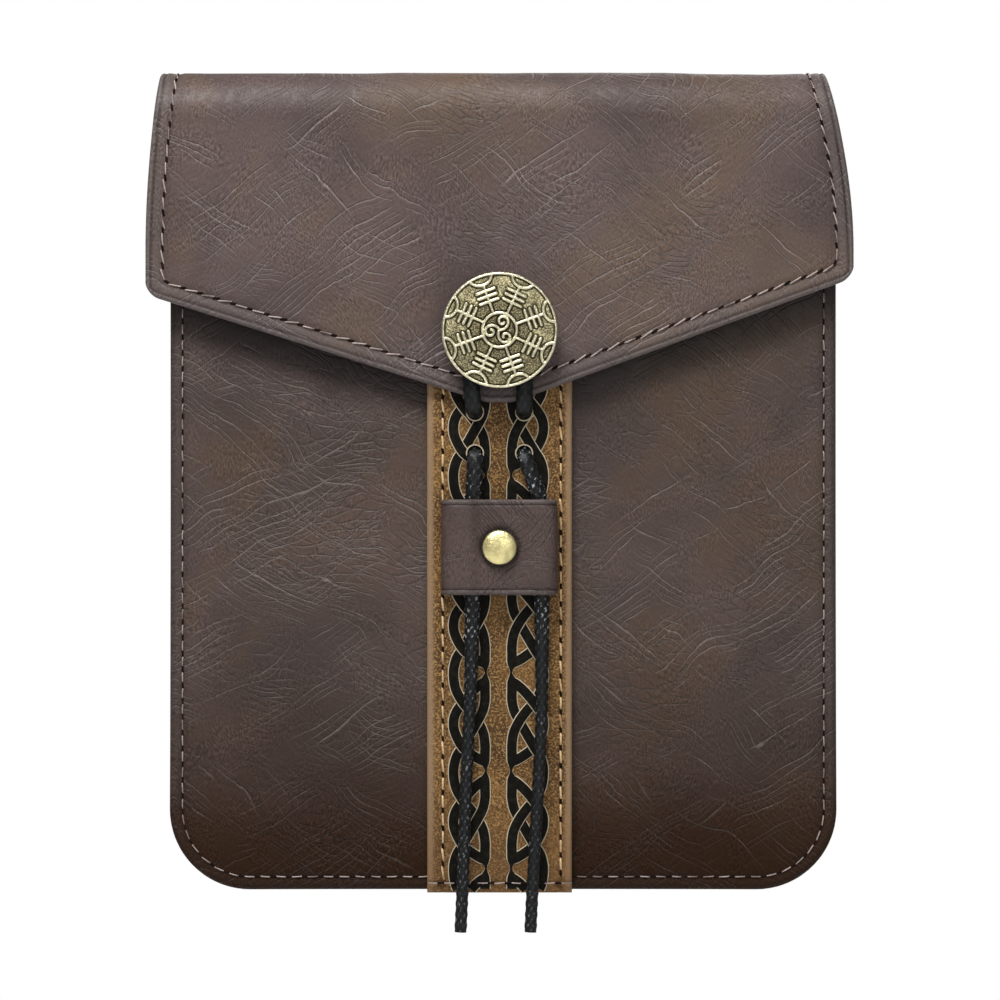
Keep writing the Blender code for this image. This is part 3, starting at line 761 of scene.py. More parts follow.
class Finishes:
    """The finishes, each made once."""

    def __init__(self) -> None:
        """Makes them all."""
        self.dark = DarkLeather().make()
        self.dark_flap = DarkLeather(
            name="dark_brown_flap_leather",
            base=(0.104, 0.071, 0.066),
            deep=(0.072, 0.048, 0.045),
            warm=(0.128, 0.080, 0.045),
            rim=(0.136, 0.112, 0.106),
            crease=(0.320, 0.265, 0.245),
            fields=(
                CreaseField(-0.68, 0.0011, 10.0, 0.38),
                CreaseField(0.62, 0.0014, 9.0, 0.41),
                CreaseField(-0.45, 0.0014, 3.8, 0.50, True),
            ),
        ).make()
        self.dark_keeper = DarkLeather(
            name="dark_brown_keeper_leather",
            warm=(0.062, 0.042, 0.036),
            rim=(0.100, 0.080, 0.074),
            crease=(0.120, 0.090, 0.080),
            line_width=0.00016,
            groove_width=0.00036,
            fields=(
                CreaseField(-0.80, 0.0008, 7.0, 0.42),
                CreaseField(0.75, 0.0010, 7.0, 0.45),
                CreaseField(-0.05, 0.0012, 9.0, 0.45),
            ),
        ).make()
        self.tan = TanLeather().make()
        self.plait = PlaitDye().make()
        self.brass = Brass().make()
        self.rivet = Brass(
            name="plain_brass", bright=(0.98, 0.86, 0.42), streak=(1.0, 1.0, 2.5), gloss=0.36
        ).make()
        self.cord = WaxedCord().make()
        self.flap_thread = Thread("flap_thread", (0.56, 0.45, 0.41), (0.17, 0.12, 0.11)).make()
        self.body_thread = Thread("body_thread", (0.46, 0.37, 0.34), (0.17, 0.12, 0.10)).make()
        self.strap_thread = Thread("strap_thread", (0.82, 0.58, 0.32), (0.46, 0.28, 0.13)).make()
        self.hole = NeedleHoleShade().make()


def set_values(mesh: Mesh, name: str, values: Array) -> None:
    """Keeps one value for each point of a mesh."""
    made = mesh.attributes.new(name, "FLOAT", "POINT")
    made.data.foreach_set("value", np.asarray(values, dtype=np.float32).ravel())


def set_ring_values(mesh: Mesh, name: str, rings: Array, first: float = 0.0, last: float = 0.0) -> None:
    """Keeps values for the rings of a closed mesh and for its two poles."""
    set_values(mesh, name, np.concatenate(((first,), rings.ravel(), (last,))))


def new_mesh(name: str, points: Array | list, faces: list, edges: tuple | list = ()) -> Mesh:
    """Makes a mesh of points, faces and loose edges."""
    mesh = bpy.data.meshes.new(name)
    mesh.from_pydata(np.asarray(points).tolist(), edges, faces)
    return mesh


def applied(piece: Object) -> Mesh:
    """Works out a new mesh of a piece with its modifiers applied."""
    bpy.context.view_layer.update()
    graph = bpy.context.evaluated_depsgraph_get()
    return bpy.data.meshes.new_from_object(piece.evaluated_get(graph))


def add_object(name: str, data: bpy.types.ID) -> Object:
    """Puts an object in the scene."""
    made = bpy.data.objects.new(name, data)
    bpy.context.scene.collection.objects.link(made)
    return made


def add_piece(name: str, mesh: Mesh, finish: Material) -> Object:
    """Makes a smooth piece of a mesh, with its finish.

    Args:
        name: its name.
        mesh: its mesh.
        finish: its finish.

    Returns:
        The piece.
    """
    mesh.materials.clear()
    mesh.materials.append(finish)
    mesh.shade_smooth()
    mesh.set_sharp_from_angle(angle=math.radians(50))
    return add_object(name, mesh)


def grid_normals(points: Array) -> Array:
    """Outward directions of a grid whose columns and rows turn about them.

    Args:
        points: the grid.

    Returns:
        A direction for each point.
    """
    across = np.gradient(points, axis=1)
    along = np.gradient(points, axis=0)
    normals = np.cross(across, along)
    return normals / np.maximum(np.linalg.norm(normals, axis=2, keepdims=True), 1e-12)


def grid_faces(rows: int, columns: int, start: int = 0, is_flipped: bool = False) -> list:
    """Faces of a grid of points.

    Args:
        rows: how many rows of points there are.
        columns: how many points a row has.
        start: number of the first point.
        is_flipped: whether the faces look the other way.

    Returns:
        The faces, as four numbers each.
    """
    at = start + np.arange(rows * columns).reshape(rows, columns)
    corners = [at[:-1, :-1], at[:-1, 1:], at[1:, 1:], at[1:, :-1]]
    if is_flipped:
        corners.reverse()
    return np.stack(corners, axis=-1).reshape(-1, 4).tolist()


@dataclass
class LeatherSheet:
    """A piece of leather as a grid of points on its outer face."""

    name: str
    outer: Array
    thickness: float
    depth: Array
    values: dict[str, Array] = field(default_factory=dict)

    def mesh(self) -> Mesh:
        """Makes the closed mesh, with the relief pressed into its outer face.

        Returns:
            The mesh.
        """
        rows, columns, _ = self.outer.shape
        normals = grid_normals(self.outer)
        face = self.outer - normals * self.depth[..., None]
        inner = self.outer - normals * self.thickness
        count = rows * columns
        faces = grid_faces(rows, columns) + grid_faces(rows, columns, count, True)
        at = np.arange(count).reshape(rows, columns)
        loop = list(at[0, :]) + list(at[1:, -1]) + list(at[-1, -2::-1]) + list(at[-2:0:-1, 0])
        for first, second in zip(loop, loop[1:] + loop[:1]):
            faces.append((int(second), int(first), int(first) + count, int(second) + count))
        mesh = new_mesh(self.name, np.concatenate((face, inner)).reshape(-1, 3), faces)
        for name in ("rim", "groove_and_painted_shade", "low"):
            value = self.values.get(name, np.zeros(count)).ravel()
            set_values(mesh, name, np.concatenate((value, value)))
        mesh.update()
        return mesh


EDGE_STEPS = (0.0, 0.00008, 0.0003, 0.0006, 0.0009, 0.0012, 0.0015, 0.0019, 0.0024, 0.0028, 0.0032)


def edge_shares(length: float, spacing: float, is_both: bool = True) -> Array:
    """Works out places along a length, close together at its ends.

    Args:
        length: the whole length.
        spacing: distance between places away from the ends.
        is_both: whether both ends are close, or just the first.

    Returns:
        Distances from 0 to the length.
    """
    near = np.array(EDGE_STEPS)
    start = near[-1]
    end = length - start if is_both else length
    middle = np.linspace(start, end, max(3, round((end - start) / spacing)))[1:]
    if not is_both:
        return np.concatenate((near, middle))
    return np.concatenate((near, middle[:-1], length - near[::-1]))


def rounded_off(distance: Array, radius: float) -> Array:
    """How far a rounded edge falls away, by the distance from the outline."""
    inside = np.clip(radius - distance, 0.0, radius)
    return radius - np.sqrt(np.maximum(0.0, radius**2 - inside**2))


class StitchTree(NodeBuilder):
    """The node tree that lays short pieces of thread, or needle holes, along a path."""

    NAME = "stitch_row"
    OUT = "face_out"
    BEND_POINTS = 7
    ROUND_POINTS = 7

    def __init__(self) -> None:
        """Makes the empty tree."""
        super().__init__(bpy.data.node_groups.new(self.NAME, "GeometryNodeTree"))

    @classmethod
    def ready(cls) -> bpy.types.NodeTree:
        """Finds the tree, or builds it the first time."""
        return bpy.data.node_groups.get(cls.NAME) or cls().build()

    def build(self) -> bpy.types.NodeTree:
        """Builds the tree with named inputs for its sizes.

        Returns:
            The tree.
        """
        sides = self.tree.interface
        sides.new_socket("Path", in_out="INPUT", socket_type="NodeSocketGeometry")
        for name in ("Pitch", "Length", "Width", "Rise", "Dip", "Slant", "Unevenness"):
            sides.new_socket(name, in_out="INPUT", socket_type="NodeSocketFloat")
        for name in ("Phase", "Seed"):
            sides.new_socket(name, in_out="INPUT", socket_type="NodeSocketInt")
        sides.new_socket("Finish", in_out="INPUT", socket_type="NodeSocketMaterial")
        sides.new_socket("Stitches", in_out="OUTPUT", socket_type="NodeSocketGeometry")
        self.given = self.node("NodeGroupInput", {}).outputs
        laid = self.laid(self.spots(), self.one_stitch())
        realized = self.step("GeometryNodeRealizeInstances", {"Geometry": laid})
        dressed = self.step(
            "GeometryNodeSetMaterial", {"Geometry": realized, "Material": self.given["Finish"]}
        )
        self.node("NodeGroupOutput", {"Stitches": dressed})
        return self.tree

    def spots(self) -> Socket:
        """The path as a line with a point at every half pitch.

        Returns:
            The line.
        """
        curve = self.step("GeometryNodeMeshToCurve", {"Mesh": self.given["Path"]})
        half_pitch = self.times(self.given["Pitch"], 0.5)
        return self.step(
            "GeometryNodeResampleCurve", {"Curve": curve, "Length": half_pitch}, mode="LENGTH"
        )

    def one_stitch(self) -> Socket:
        """One bent and tapered piece along X, whose ends dip.

        Returns:
            The piece.
        """
        half = self.times(self.given["Length"], 0.5)
        ends = []
        for side in (-1.0, 1.0):
            reach = self.times(half, side)
            ends.append(self.step("ShaderNodeCombineXYZ", {"X": reach}))
        line = self.step("GeometryNodeCurvePrimitiveLine", {"Start": ends[0], "End": ends[1]})
        line = self.step("GeometryNodeResampleCurve", {"Curve": line, "Count": self.BEND_POINTS})
        place = self.step("GeometryNodeInputPosition", {})
        along = self.step("ShaderNodeSeparateXYZ", {"Vector": place})
        share = self.maths("DIVIDE", along, half)
        square = self.times(share, share)
        dip = self.times(self.times(square, square), self.given["Dip"])
        lift = self.maths("SUBTRACT", self.given["Rise"], dip)
        offset = self.step("ShaderNodeCombineXYZ", {"Z": lift})
        line = self.step("GeometryNodeSetPosition", {"Geometry": line, "Offset": offset})
        taper = self.maths("SUBTRACT", 1.0, self.times(square, 0.45))
        line = self.step("GeometryNodeSetCurveRadius", {"Curve": line, "Radius": taper})
        radius = self.times(self.given["Width"], 0.5)
        ring = self.step(
            "GeometryNodeCurvePrimitiveCircle", {"Resolution": self.ROUND_POINTS, "Radius": radius}
        )
        return self.step(
            "GeometryNodeCurveToMesh", {"Curve": line, "Profile Curve": ring, "Fill Caps": True}
        )

    def laid(self, spots: Socket, stitch: Socket) -> Socket:
        """Lays the pieces on every second point, along the path and flat on the leather.

        Args:
            spots: the path's points.
            stitch: one piece.

        Returns:
            The pieces as instances.
        """
        index = self.step("GeometryNodeInputIndex", {})
        phase = self.maths("ADD", index, self.given["Phase"])
        is_chosen = self.maths("LESS_THAN", self.maths("MODULO", phase, 2.0), 0.5)
        out = self.step("GeometryNodeInputNamedAttribute", {"Name": self.OUT}, data_type="FLOAT_VECTOR")
        along = self.step("GeometryNodeInputTangent", {})
        turn = self.step("FunctionNodeAlignRotationToVector", {"Vector": out}, axis="Z")
        turn = self.step(
            "FunctionNodeAlignRotationToVector",
            {"Rotation": turn, "Vector": along},
            axis="X",
            pivot_axis="Z",
        )
        drift = self.step(
            "FunctionNodeRandomValue", {"Min": -1.0, "Max": 1.0, "Seed": self.given["Seed"]}, 1
        )
        swing = self.times(drift, self.given["Unevenness"])
        slant = self.maths("ADD", self.given["Slant"], swing)
        euler = self.step("ShaderNodeCombineXYZ", {"Z": slant})
        slanted = self.step("FunctionNodeEulerToRotation", {"Euler": euler})
        turn = self.step(
            "FunctionNodeRotateRotation",
            {"Rotation": turn, "Rotate By": slanted},
            rotation_space="LOCAL",
        )
        size = self.maths("ADD", 1.0, self.times(swing, 0.8))
        return self.step(
            "GeometryNodeInstanceOnPoints",
            {
                "Points": spots,
                "Selection": is_chosen,
                "Instance": stitch,
                "Rotation": turn,
                "Scale": self.step("ShaderNodeCombineXYZ", {"X": size, "Y": 1.0, "Z": 1.0}),
            },
        )


@dataclass(frozen=True)
class StitchStyle:
    """Sizes of a row of sewing."""

    pitch: float
    thread_length: float
    thread_width: float
    hole_length: float
    hole_width: float
    slant: float = 0.0
    unevenness: float = 0.05


BODY_SEWING = StitchStyle(0.0035, 0.0021, 0.00030, 0.0014, 0.00052, unevenness=0.08)
FLAP_SEWING = StitchStyle(0.0039, 0.0028, 0.00031, 0.0014, 0.00066, slant=0.16, unevenness=0.12)
STRAP_SEWING = StitchStyle(0.0039, 0.0027, 0.00048, 0.0013, 0.00084, slant=0.08, unevenness=0.09)


@dataclass
class Sewing:
    """Rows of thread and needle holes that belong to one piece."""

    name: str
    style: StitchStyle
    thread: Material
    hole: Material
    seed: int
    rows: list[tuple[Array, Array]] = field(default_factory=list)

    def add_row(self, points: Array, outward: Array) -> None:
        """Adds a row along points on the leather, with the directions out of it."""
        self.rows.append((np.asarray(points, dtype=float), np.asarray(outward, dtype=float)))

    def add_back_row(self, points: Array, sink: float) -> None:
        """Adds a row that lies a little deep in a flat back face."""
        self.add_row(points - BACKWARDS * sink, np.tile(BACKWARDS, (len(points), 1)))

    def add_face_row(self, face: Surface, places: Places, sink: float) -> None:
        """Adds a row on a front face.

        Args:
            face: gives Y at (x, z).
            places: the row as (x, z).
            sink: how deep it lies.
        """
        self.add_row(*on_face(face, places, sink))

    def path_mesh(self) -> Mesh:
        """Makes the rows one mesh of edges.

        Returns:
            The mesh, which keeps the outward directions.
        """
        points = []
        outward = []
        edges = []
        for row_points, row_outward in self.rows:
            start = len(points)
            points += row_points.tolist()
            outward.append(row_outward)
            edges += [(at, at + 1) for at in range(start, len(points) - 1)]
        mesh = new_mesh(self.name + "_path", points, [], edges)
        kept = mesh.attributes.new(StitchTree.OUT, "FLOAT_VECTOR", "POINT")
        kept.data.foreach_set("vector", np.concatenate(outward).astype(np.float32).ravel())
        return mesh

    def laid(self, name: str, finish: Material, sizes: dict[str, float]) -> Object:
        """Runs the tree once and keeps its result as a plain mesh.

        Args:
            name: the piece's name.
            finish: its finish.
            sizes: the tree's inputs by name.

        Returns:
            The piece.
        """
        carrier = add_object(name + "_carrier", self.path_mesh())
        modifier = carrier.modifiers.new("stitches", "NODES")
        modifier.node_group = StitchTree.ready()
        given = {**sizes, "Seed": self.seed, "Finish": finish}
        for item in modifier.node_group.interface.items_tree:
            if item.in_out == "INPUT" and item.name in given:
                modifier[item.identifier] = given[item.name]
        mesh = applied(carrier)
        mesh.name = name
        bpy.data.objects.remove(carrier, do_unlink=True)
        return add_piece(name, mesh, finish)

    def build(self) -> list[Object]:
        """Makes the threads and the needle holes between them.

        Returns:
            The two pieces.
        """
        style = self.style
        thread = {
            "Pitch": style.pitch,
            "Length": style.thread_length,
            "Width": style.thread_width,
            "Rise": style.thread_width * 0.42,
            "Dip": style.thread_width * 0.85,
            "Slant": style.slant,
            "Unevenness": style.unevenness,
            "Phase": 0,
        }
        hole = {
            **thread,
            "Length": style.hole_length,
            "Width": style.hole_width,
            "Rise": -style.hole_width * 0.36,
            "Dip": style.hole_width * 0.12,
            "Phase": 1,
        }
        # The needle holes are dark slivers of painted shade.
        holes = self.laid(self.name + "_needle_holes", self.hole, hole)
        return [self.laid(self.name + "_thread", self.thread, thread), holes]


def on_face(face: Surface, places: Places, sink: float) -> tuple[Array, Array]:
    """Puts places on a front face.

    Args:
        face: gives Y at (x, z).
        places: the places as (x, z).
        sink: how deep they lie under the face.

    Returns:
        The points and the directions out of the face.
    """
    x, z = np.array(places, dtype=float).T
    step = 0.0004
    slope_x = (face(x + step, z) - face(x - step, z)) / (2 * step)
    slope_z = (face(x, z + step) - face(x, z - step)) / (2 * step)
    outward = np.stack((slope_x, -np.ones_like(x), slope_z), axis=1)
    outward /= np.linalg.norm(outward, axis=1, keepdims=True)
    return np.stack((x, face(x, z), z), axis=1) - outward * sink, outward


def dress(pieces: list[Object], slot: Slot, node: str) -> None:
    """Lets pieces ride with the pouch, and hides the CAD node that they stand for.

    Args:
        pieces: the pieces.
        slot: not used.
        node: the CAD node that it replaces.
    """
    for piece in pieces:
        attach(piece, "root")
        LOG.info("%s: %d faces", piece.name, len(piece.data.polygons))
    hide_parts(node)


@dataclass
class Flap:
    """The pointed flap, which rolls over the top from the back."""

    finish: Material
    thread: Material
    hole: Material
    flare_drop: float = 0.040
    left_taper: float = 0.0030
    right_taper: float = 0.0059
    left_drop: float = 0.0495
    right_drop: float = 0.0458
    tip_drop: float = 0.0733
    tip_width: float = 0.006
    corner: float = 0.003
    back_drop: float = 0.0192
    spacing: float = 0.0012
    stitch_inset: float = 0.0039
    edge_round: float = 0.0009
    line_inset: float = 0.0013
    line_width: float = 0.00022
    thread_sink: float = 0.00015
    far: float = 0.03
    seed: int = 31

    def reach(self, share: Array, z: Array) -> Array:
        """Half the flap's width on the side that a share is on, which flares below the roll.

        Args:
            share: places across, of which the sign counts.
            z: places up.

        Returns:
            Half widths.
        """
        flare = np.clip((FORM.top_z - z) / self.flare_drop, 0.0, 1.0)
        taper = np.where(np.asarray(share) < 0, self.left_taper, self.right_taper)
        return FORM.flap_width / 2 - taper * (1 - np.sin(np.pi / 2 * flare))

    def x(self, shares: Array, z: Array) -> Array:
        """X of places at shares of the half width."""
        return FORM.shift + shares * self.reach(shares, z)

    def edge_z(self, share: Array) -> Array:
        """Height of the lower edge at shares of the half width.

        Args:
            share: places across, from -1 to 1.

        Returns:
            Heights.
        """
        half = FORM.flap_width / 2
        place = np.abs(share) * half
        side_drop = np.where(share < 0, self.left_drop, self.right_drop)
        tip_half = self.tip_width / 2
        reach = np.maximum(0.0, place - tip_half) / (half - tip_half)
        drop = self.tip_drop - (self.tip_drop - side_drop) * reach
        to_side = np.clip(half - place, 0.0, self.corner)
        drop -= self.corner - np.sqrt(self.corner**2 - (self.corner - to_side) ** 2)
        return FORM.top_z - drop

    def front_row(self, shares: Array, z: Array) -> Array:
        """Points of a row where the flap hangs down the front."""
        x = self.x(shares, z)
        return np.stack((x, FORM.flap_face(x, z), z), axis=-1)

    def roll_row(self, shares: Array, angle: float) -> Array:
        """Points of a row of the roll, from its front at 0 to its back at pi.

        Args:
            shares: places across, from -1 to 1.
            angle: where the row lies.

        Returns:
            The points.
        """
        roll = FORM.flap_roll
        z = np.full_like(shares, FORM.roll_z + roll * math.sin(angle))
        if angle <= math.pi / 2:
            x = self.x(shares, z)
            start = self.x(shares, np.full_like(shares, FORM.roll_z))
            centre = FORM.flap_face(start, np.full_like(shares, FORM.roll_z)) + roll
        else:
            x = self.x(shares, np.full_like(shares, FORM.top_z))
            centre = np.full_like(shares, FORM.back_y + FORM.gap + FORM.flap_leather - roll)
        return np.stack((x, centre - roll * math.cos(angle), z), axis=-1)

    def back_row(self, shares: Array, z: float) -> Array:
        """Points of a row of the strip down the back.

        Args:
            shares: places across, from -1 to 1.
            z: the row's height.

        Returns:
            The points.
        """
        x = self.x(shares, np.full_like(shares, FORM.top_z))
        y = np.full_like(shares, FORM.back_y + FORM.gap + FORM.flap_leather)
        return np.stack((x, y, np.full_like(shares, z)), axis=-1)

    def rows(self, shares: Array) -> tuple[Array, Array]:
        """Runs from the lower edge up, over the roll and down the back.

        Args:
            shares: places across, from -1 to 1.

        Returns:
            The grid of points, and how far each is from the flap's two cut ends.
        """
        slope = math.cos(math.atan2(self.tip_drop - self.left_drop, FORM.flap_width / 2))
        edge = self.edge_z(shares)
        near = np.array(EDGE_STEPS) / slope
        rows = [self.front_row(shares, edge + step) for step in near]
        ends = [np.full_like(shares, step * slope) for step in near]
        start = edge + near[-1]
        for share in np.linspace(0, 1, 46)[1:]:
            z = start + (FORM.roll_z - start) * share
            rows.append(self.front_row(shares, z))
            ends.append((z - edge) * slope)
        far = np.full_like(shares, self.far)
        for angle in np.linspace(0, np.pi / 2, 16)[1:]:
            rows.append(self.roll_row(shares, float(angle)))
            ends.append(far)
        for angle in np.linspace(np.pi / 2 + 0.001, np.pi, 14):
            rows.append(self.roll_row(shares, float(angle)))
            ends.append(far)
        low = FORM.top_z - self.back_drop
        for step in reversed(edge_shares(FORM.roll_z - low, self.spacing, is_both=False)[:-1]):
            rows.append(self.back_row(shares, low + step))
            ends.append(np.full_like(shares, step))
        return np.array(rows), np.array(ends)

    def sheet(self) -> LeatherSheet:
        """Lays out the flap's grid and its relief.

        Returns:
            The sheet.
        """
        width = FORM.flap_width
        shares = edge_shares(width, self.spacing) / width * 2 - 1
        outer, ends = self.rows(shares)
        x = outer[..., 0]
        z = outer[..., 2]
        sides = np.minimum(x - x[:, :1], x[:, -1:] - x)
        distance = np.minimum(sides, ends)
        relief = rounded_off(distance, self.edge_round)
        relief += 0.00022 * hump(distance - self.line_inset, self.line_width)
        relief += 0.00030 * hump(distance - self.stitch_inset, 0.0008)
        inner = smooth_step(distance / 0.010)
        relief += 0.00030 * inner * swell(x, z, 0.040, self.seed)
        relief += 0.00008 * inner * swell(x, z, 0.012, self.seed + 1)
        border = 1 - smooth_step((distance - 0.0026) / 0.0016)
        values = {
            "rim": np.maximum(1 - smooth_step((distance - 0.0009) / 0.0003), 0.45 * border),
            # Painted shade along the pressed line and the stitch groove.
            "groove_and_painted_shade": 0.85 * hump(distance - self.line_inset, self.line_width)
            + 0.30 * hump(distance - self.stitch_inset, 0.0006),
        }
        return LeatherSheet("flap", outer, FORM.flap_leather, relief, values)

    def side_row(self, side: Side) -> tuple[Array, Array]:
        """Works out one side's stitches, from the tip to the back strip's lower end.

        Args:
            side: which side.

        Returns:
            The points and the directions out of the leather.
        """
        half = FORM.flap_width / 2
        inset = self.stitch_inset
        drop = self.left_drop if side is Side.LEFT else self.right_drop
        slope = math.atan2(self.tip_drop - drop, half - self.tip_width / 2)
        rise = inset / math.cos(slope)
        tip_z = FORM.top_z - self.tip_drop + rise
        corner_x = half - inset
        corner_z = tip_z + (corner_x - self.tip_width / 2) * math.tan(slope)
        points = [(0.0, tip_z)]
        for share in np.linspace(0, 1, 60)[1:]:
            start = self.tip_width / 2
            x = start + (corner_x - 0.002 - start) * share
            points.append((x, tip_z + (x - start) * math.tan(slope)))
        first, turn, last = np.array((points[-1], (corner_x, corner_z), (corner_x, corner_z + 0.002)))
        for share in np.linspace(0.2, 0.8, 4):
            bend = (1 - share) ** 2 * first + 2 * share * (1 - share) * turn
            points.append(tuple(bend + share**2 * last))
        for z in np.arange(corner_z + 0.002, FORM.roll_z, 0.001):
            points.append((float(self.reach(side.value, z)) - inset, float(z)))
        places = [(FORM.shift + side.value * x, z) for x, z in points]
        front, front_out = on_face(FORM.flap_face, places, self.thread_sink)
        share = np.array([side.value * (1 - inset / float(self.reach(side.value, FORM.top_z)))])
        rolled = []
        rolled_out = []
        for angle in np.linspace(0.05, np.pi, 24):
            out = np.array((0.0, -math.cos(angle), math.sin(angle)))
            rolled.append(self.roll_row(share, float(angle))[0] - out * self.thread_sink)
            rolled_out.append(out)
        for z in np.arange(FORM.roll_z, FORM.top_z - self.back_drop + inset, -0.001):
            rolled.append(self.back_row(share, float(z))[0] - BACKWARDS * self.thread_sink)
            rolled_out.append(BACKWARDS)
        return np.concatenate((front, rolled)), np.concatenate((front_out, rolled_out))

    def sewing(self) -> Sewing:
        """Lays out the stitches round the flap.

        Returns:
            The sewing.
        """
        made = Sewing("flap", FLAP_SEWING, self.thread, self.hole, self.seed)
        left, left_out = self.side_row(Side.LEFT)
        right, right_out = self.side_row(Side.RIGHT)
        made.add_row(
            np.concatenate((left[::-1], right[1:])), np.concatenate((left_out[::-1], right_out[1:]))
        )
        share = 1 - 2 * self.stitch_inset / FORM.flap_width
        across = np.linspace(-share, share, 120)
        low = self.back_row(across, FORM.top_z - self.back_drop + self.stitch_inset)
        made.add_back_row(low, self.thread_sink)
        return made

    def build(self) -> None:
        """Makes and dresses the flap."""
        flap = add_piece("flap_leather", self.sheet().mesh(), self.finish)
        dress([flap, *self.sewing().build()], Slot.BROWN, "flap")


@dataclass
class BodyPanel:
    """A front or back panel of the body, with its sewn rim."""

    name: str
    is_front: bool
    finish: Material
    thread: Material
    hole: Material
    spacing: float = 0.0012
    stitch_inset: float = 0.003
    edge_round: float = 0.0018
    # Painted shade towards the bottom, in two steps.
    low_shade_start: float = -0.052
    low_shade_reach: float = 0.046
    low_shade_share: float = 0.42
    bottom_shade_start: float = -0.090
    bottom_shade_reach: float = 0.027
    bottom_shade_share: float = 0.52
    # Painted shadow under the flap: its strength and how far below the flap's edge it reaches.
    shade: float = 0.90
    shade_reach: float = 0.0110
    front_sink: float = 0.00022
    back_sink: float = 0.0002
    front_start: float = 0.012
    back_start: float = 0.022
    covered_by: Flap | None = None
    seed: int = 11

    @property
    def top_z(self) -> float:
        """Height of the panel's upper edge."""
        return FORM.mouth_z if self.is_front else FORM.roll_z

    def face(self, x: Array, z: Array) -> Array:
        """Y of the panel's outer face."""
        return FORM.front_face(x, z) if self.is_front else np.zeros_like(x + z) + FORM.back_y

    def sheet(self) -> LeatherSheet:
        """Lays out the panel's grid and its relief.

        Returns:
            The sheet.
        """
        height = self.top_z - FORM.bottom_z
        heights = FORM.bottom_z + edge_shares(height, self.spacing)
        half = FORM.body_half_width(heights)
        shares = edge_shares(FORM.body_width, self.spacing) / FORM.body_width * 2 - 1
        if not self.is_front:
            shares = -shares
        x = shares[None, :] * half[:, None]
        z = np.repeat(heights[:, None], len(shares), axis=1)
        outer = np.stack((x, self.face(x, z), z), axis=2)
        distance = np.minimum(FORM.rim_distance(x, z), self.top_z - z)
        seam = FORM.rim_distance(x, z) - self.stitch_inset
        relief = rounded_off(distance, self.edge_round)
        relief += 0.00030 * hump(seam, 0.0008)
        inner = smooth_step(distance / 0.012)
        relief += 0.00045 * inner * swell(x, z, 0.034, self.seed)
        relief += 0.00010 * inner * swell(x, z, 0.011, self.seed + 1)
        # Painted shade: darker towards the bottom, and darker again near the bottom edge.
        low = self.low_shade_share * smooth_step((self.low_shade_start - z) / self.low_shade_reach)
        low += self.bottom_shade_share * smooth_step((self.bottom_shade_start - z) / self.bottom_shade_reach)
        # Painted shadow: the body is darkened just below the flap's edge, where the flap casts its shadow.
        shaded = np.zeros_like(x)
        if self.covered_by:
            share = np.clip((x - FORM.shift) / (FORM.flap_width / 2), -1.0, 1.0)
            below = self.covered_by.edge_z(share) - z
            shaded = self.shade * (1 - smooth_step(below / self.shade_reach))
        values = {
            "rim": 1 - smooth_step((distance - 0.0012) / 0.0018),
            # Painted shade along the seam, and the painted shadow under the flap.
            "groove_and_painted_shade": np.maximum(shaded, 0.35 * hump(seam, 0.0006)),
            "low": low,
        }
        return LeatherSheet(self.name, outer, FORM.panel_leather, relief, values)

    def sewing(self) -> Sewing:
        """Lays out the rim's stitches, apart from where the strap covers them.

        Returns:
            The sewing.
        """
        row = Sewing(self.name, BODY_SEWING, self.thread, self.hole, self.seed)
        top = FORM.roll_z - self.front_start if self.is_front else FORM.top_z - self.back_start
        places = FORM.rim_path(self.stitch_inset, top, 0.001)
        if not self.is_front:
            points, _ = on_face(self.face, places, 0.0)
            row.add_back_row(points, self.back_sink)
            return row
        strap_half = CentreStrap.width / 2
        for side in Side:
            part = [
                (x, z) for x, z in places if side.value * x > 0 and abs(x - FORM.shift) > strap_half
            ]
            row.add_face_row(self.face, part, self.front_sink)
        return row

    def build(self) -> None:
        """Makes and dresses the panel."""
        panel = add_piece(self.name + "_leather", self.sheet().mesh(), self.finish)
        dress([panel, *self.sewing().build()], Slot.BROWN, self.name)


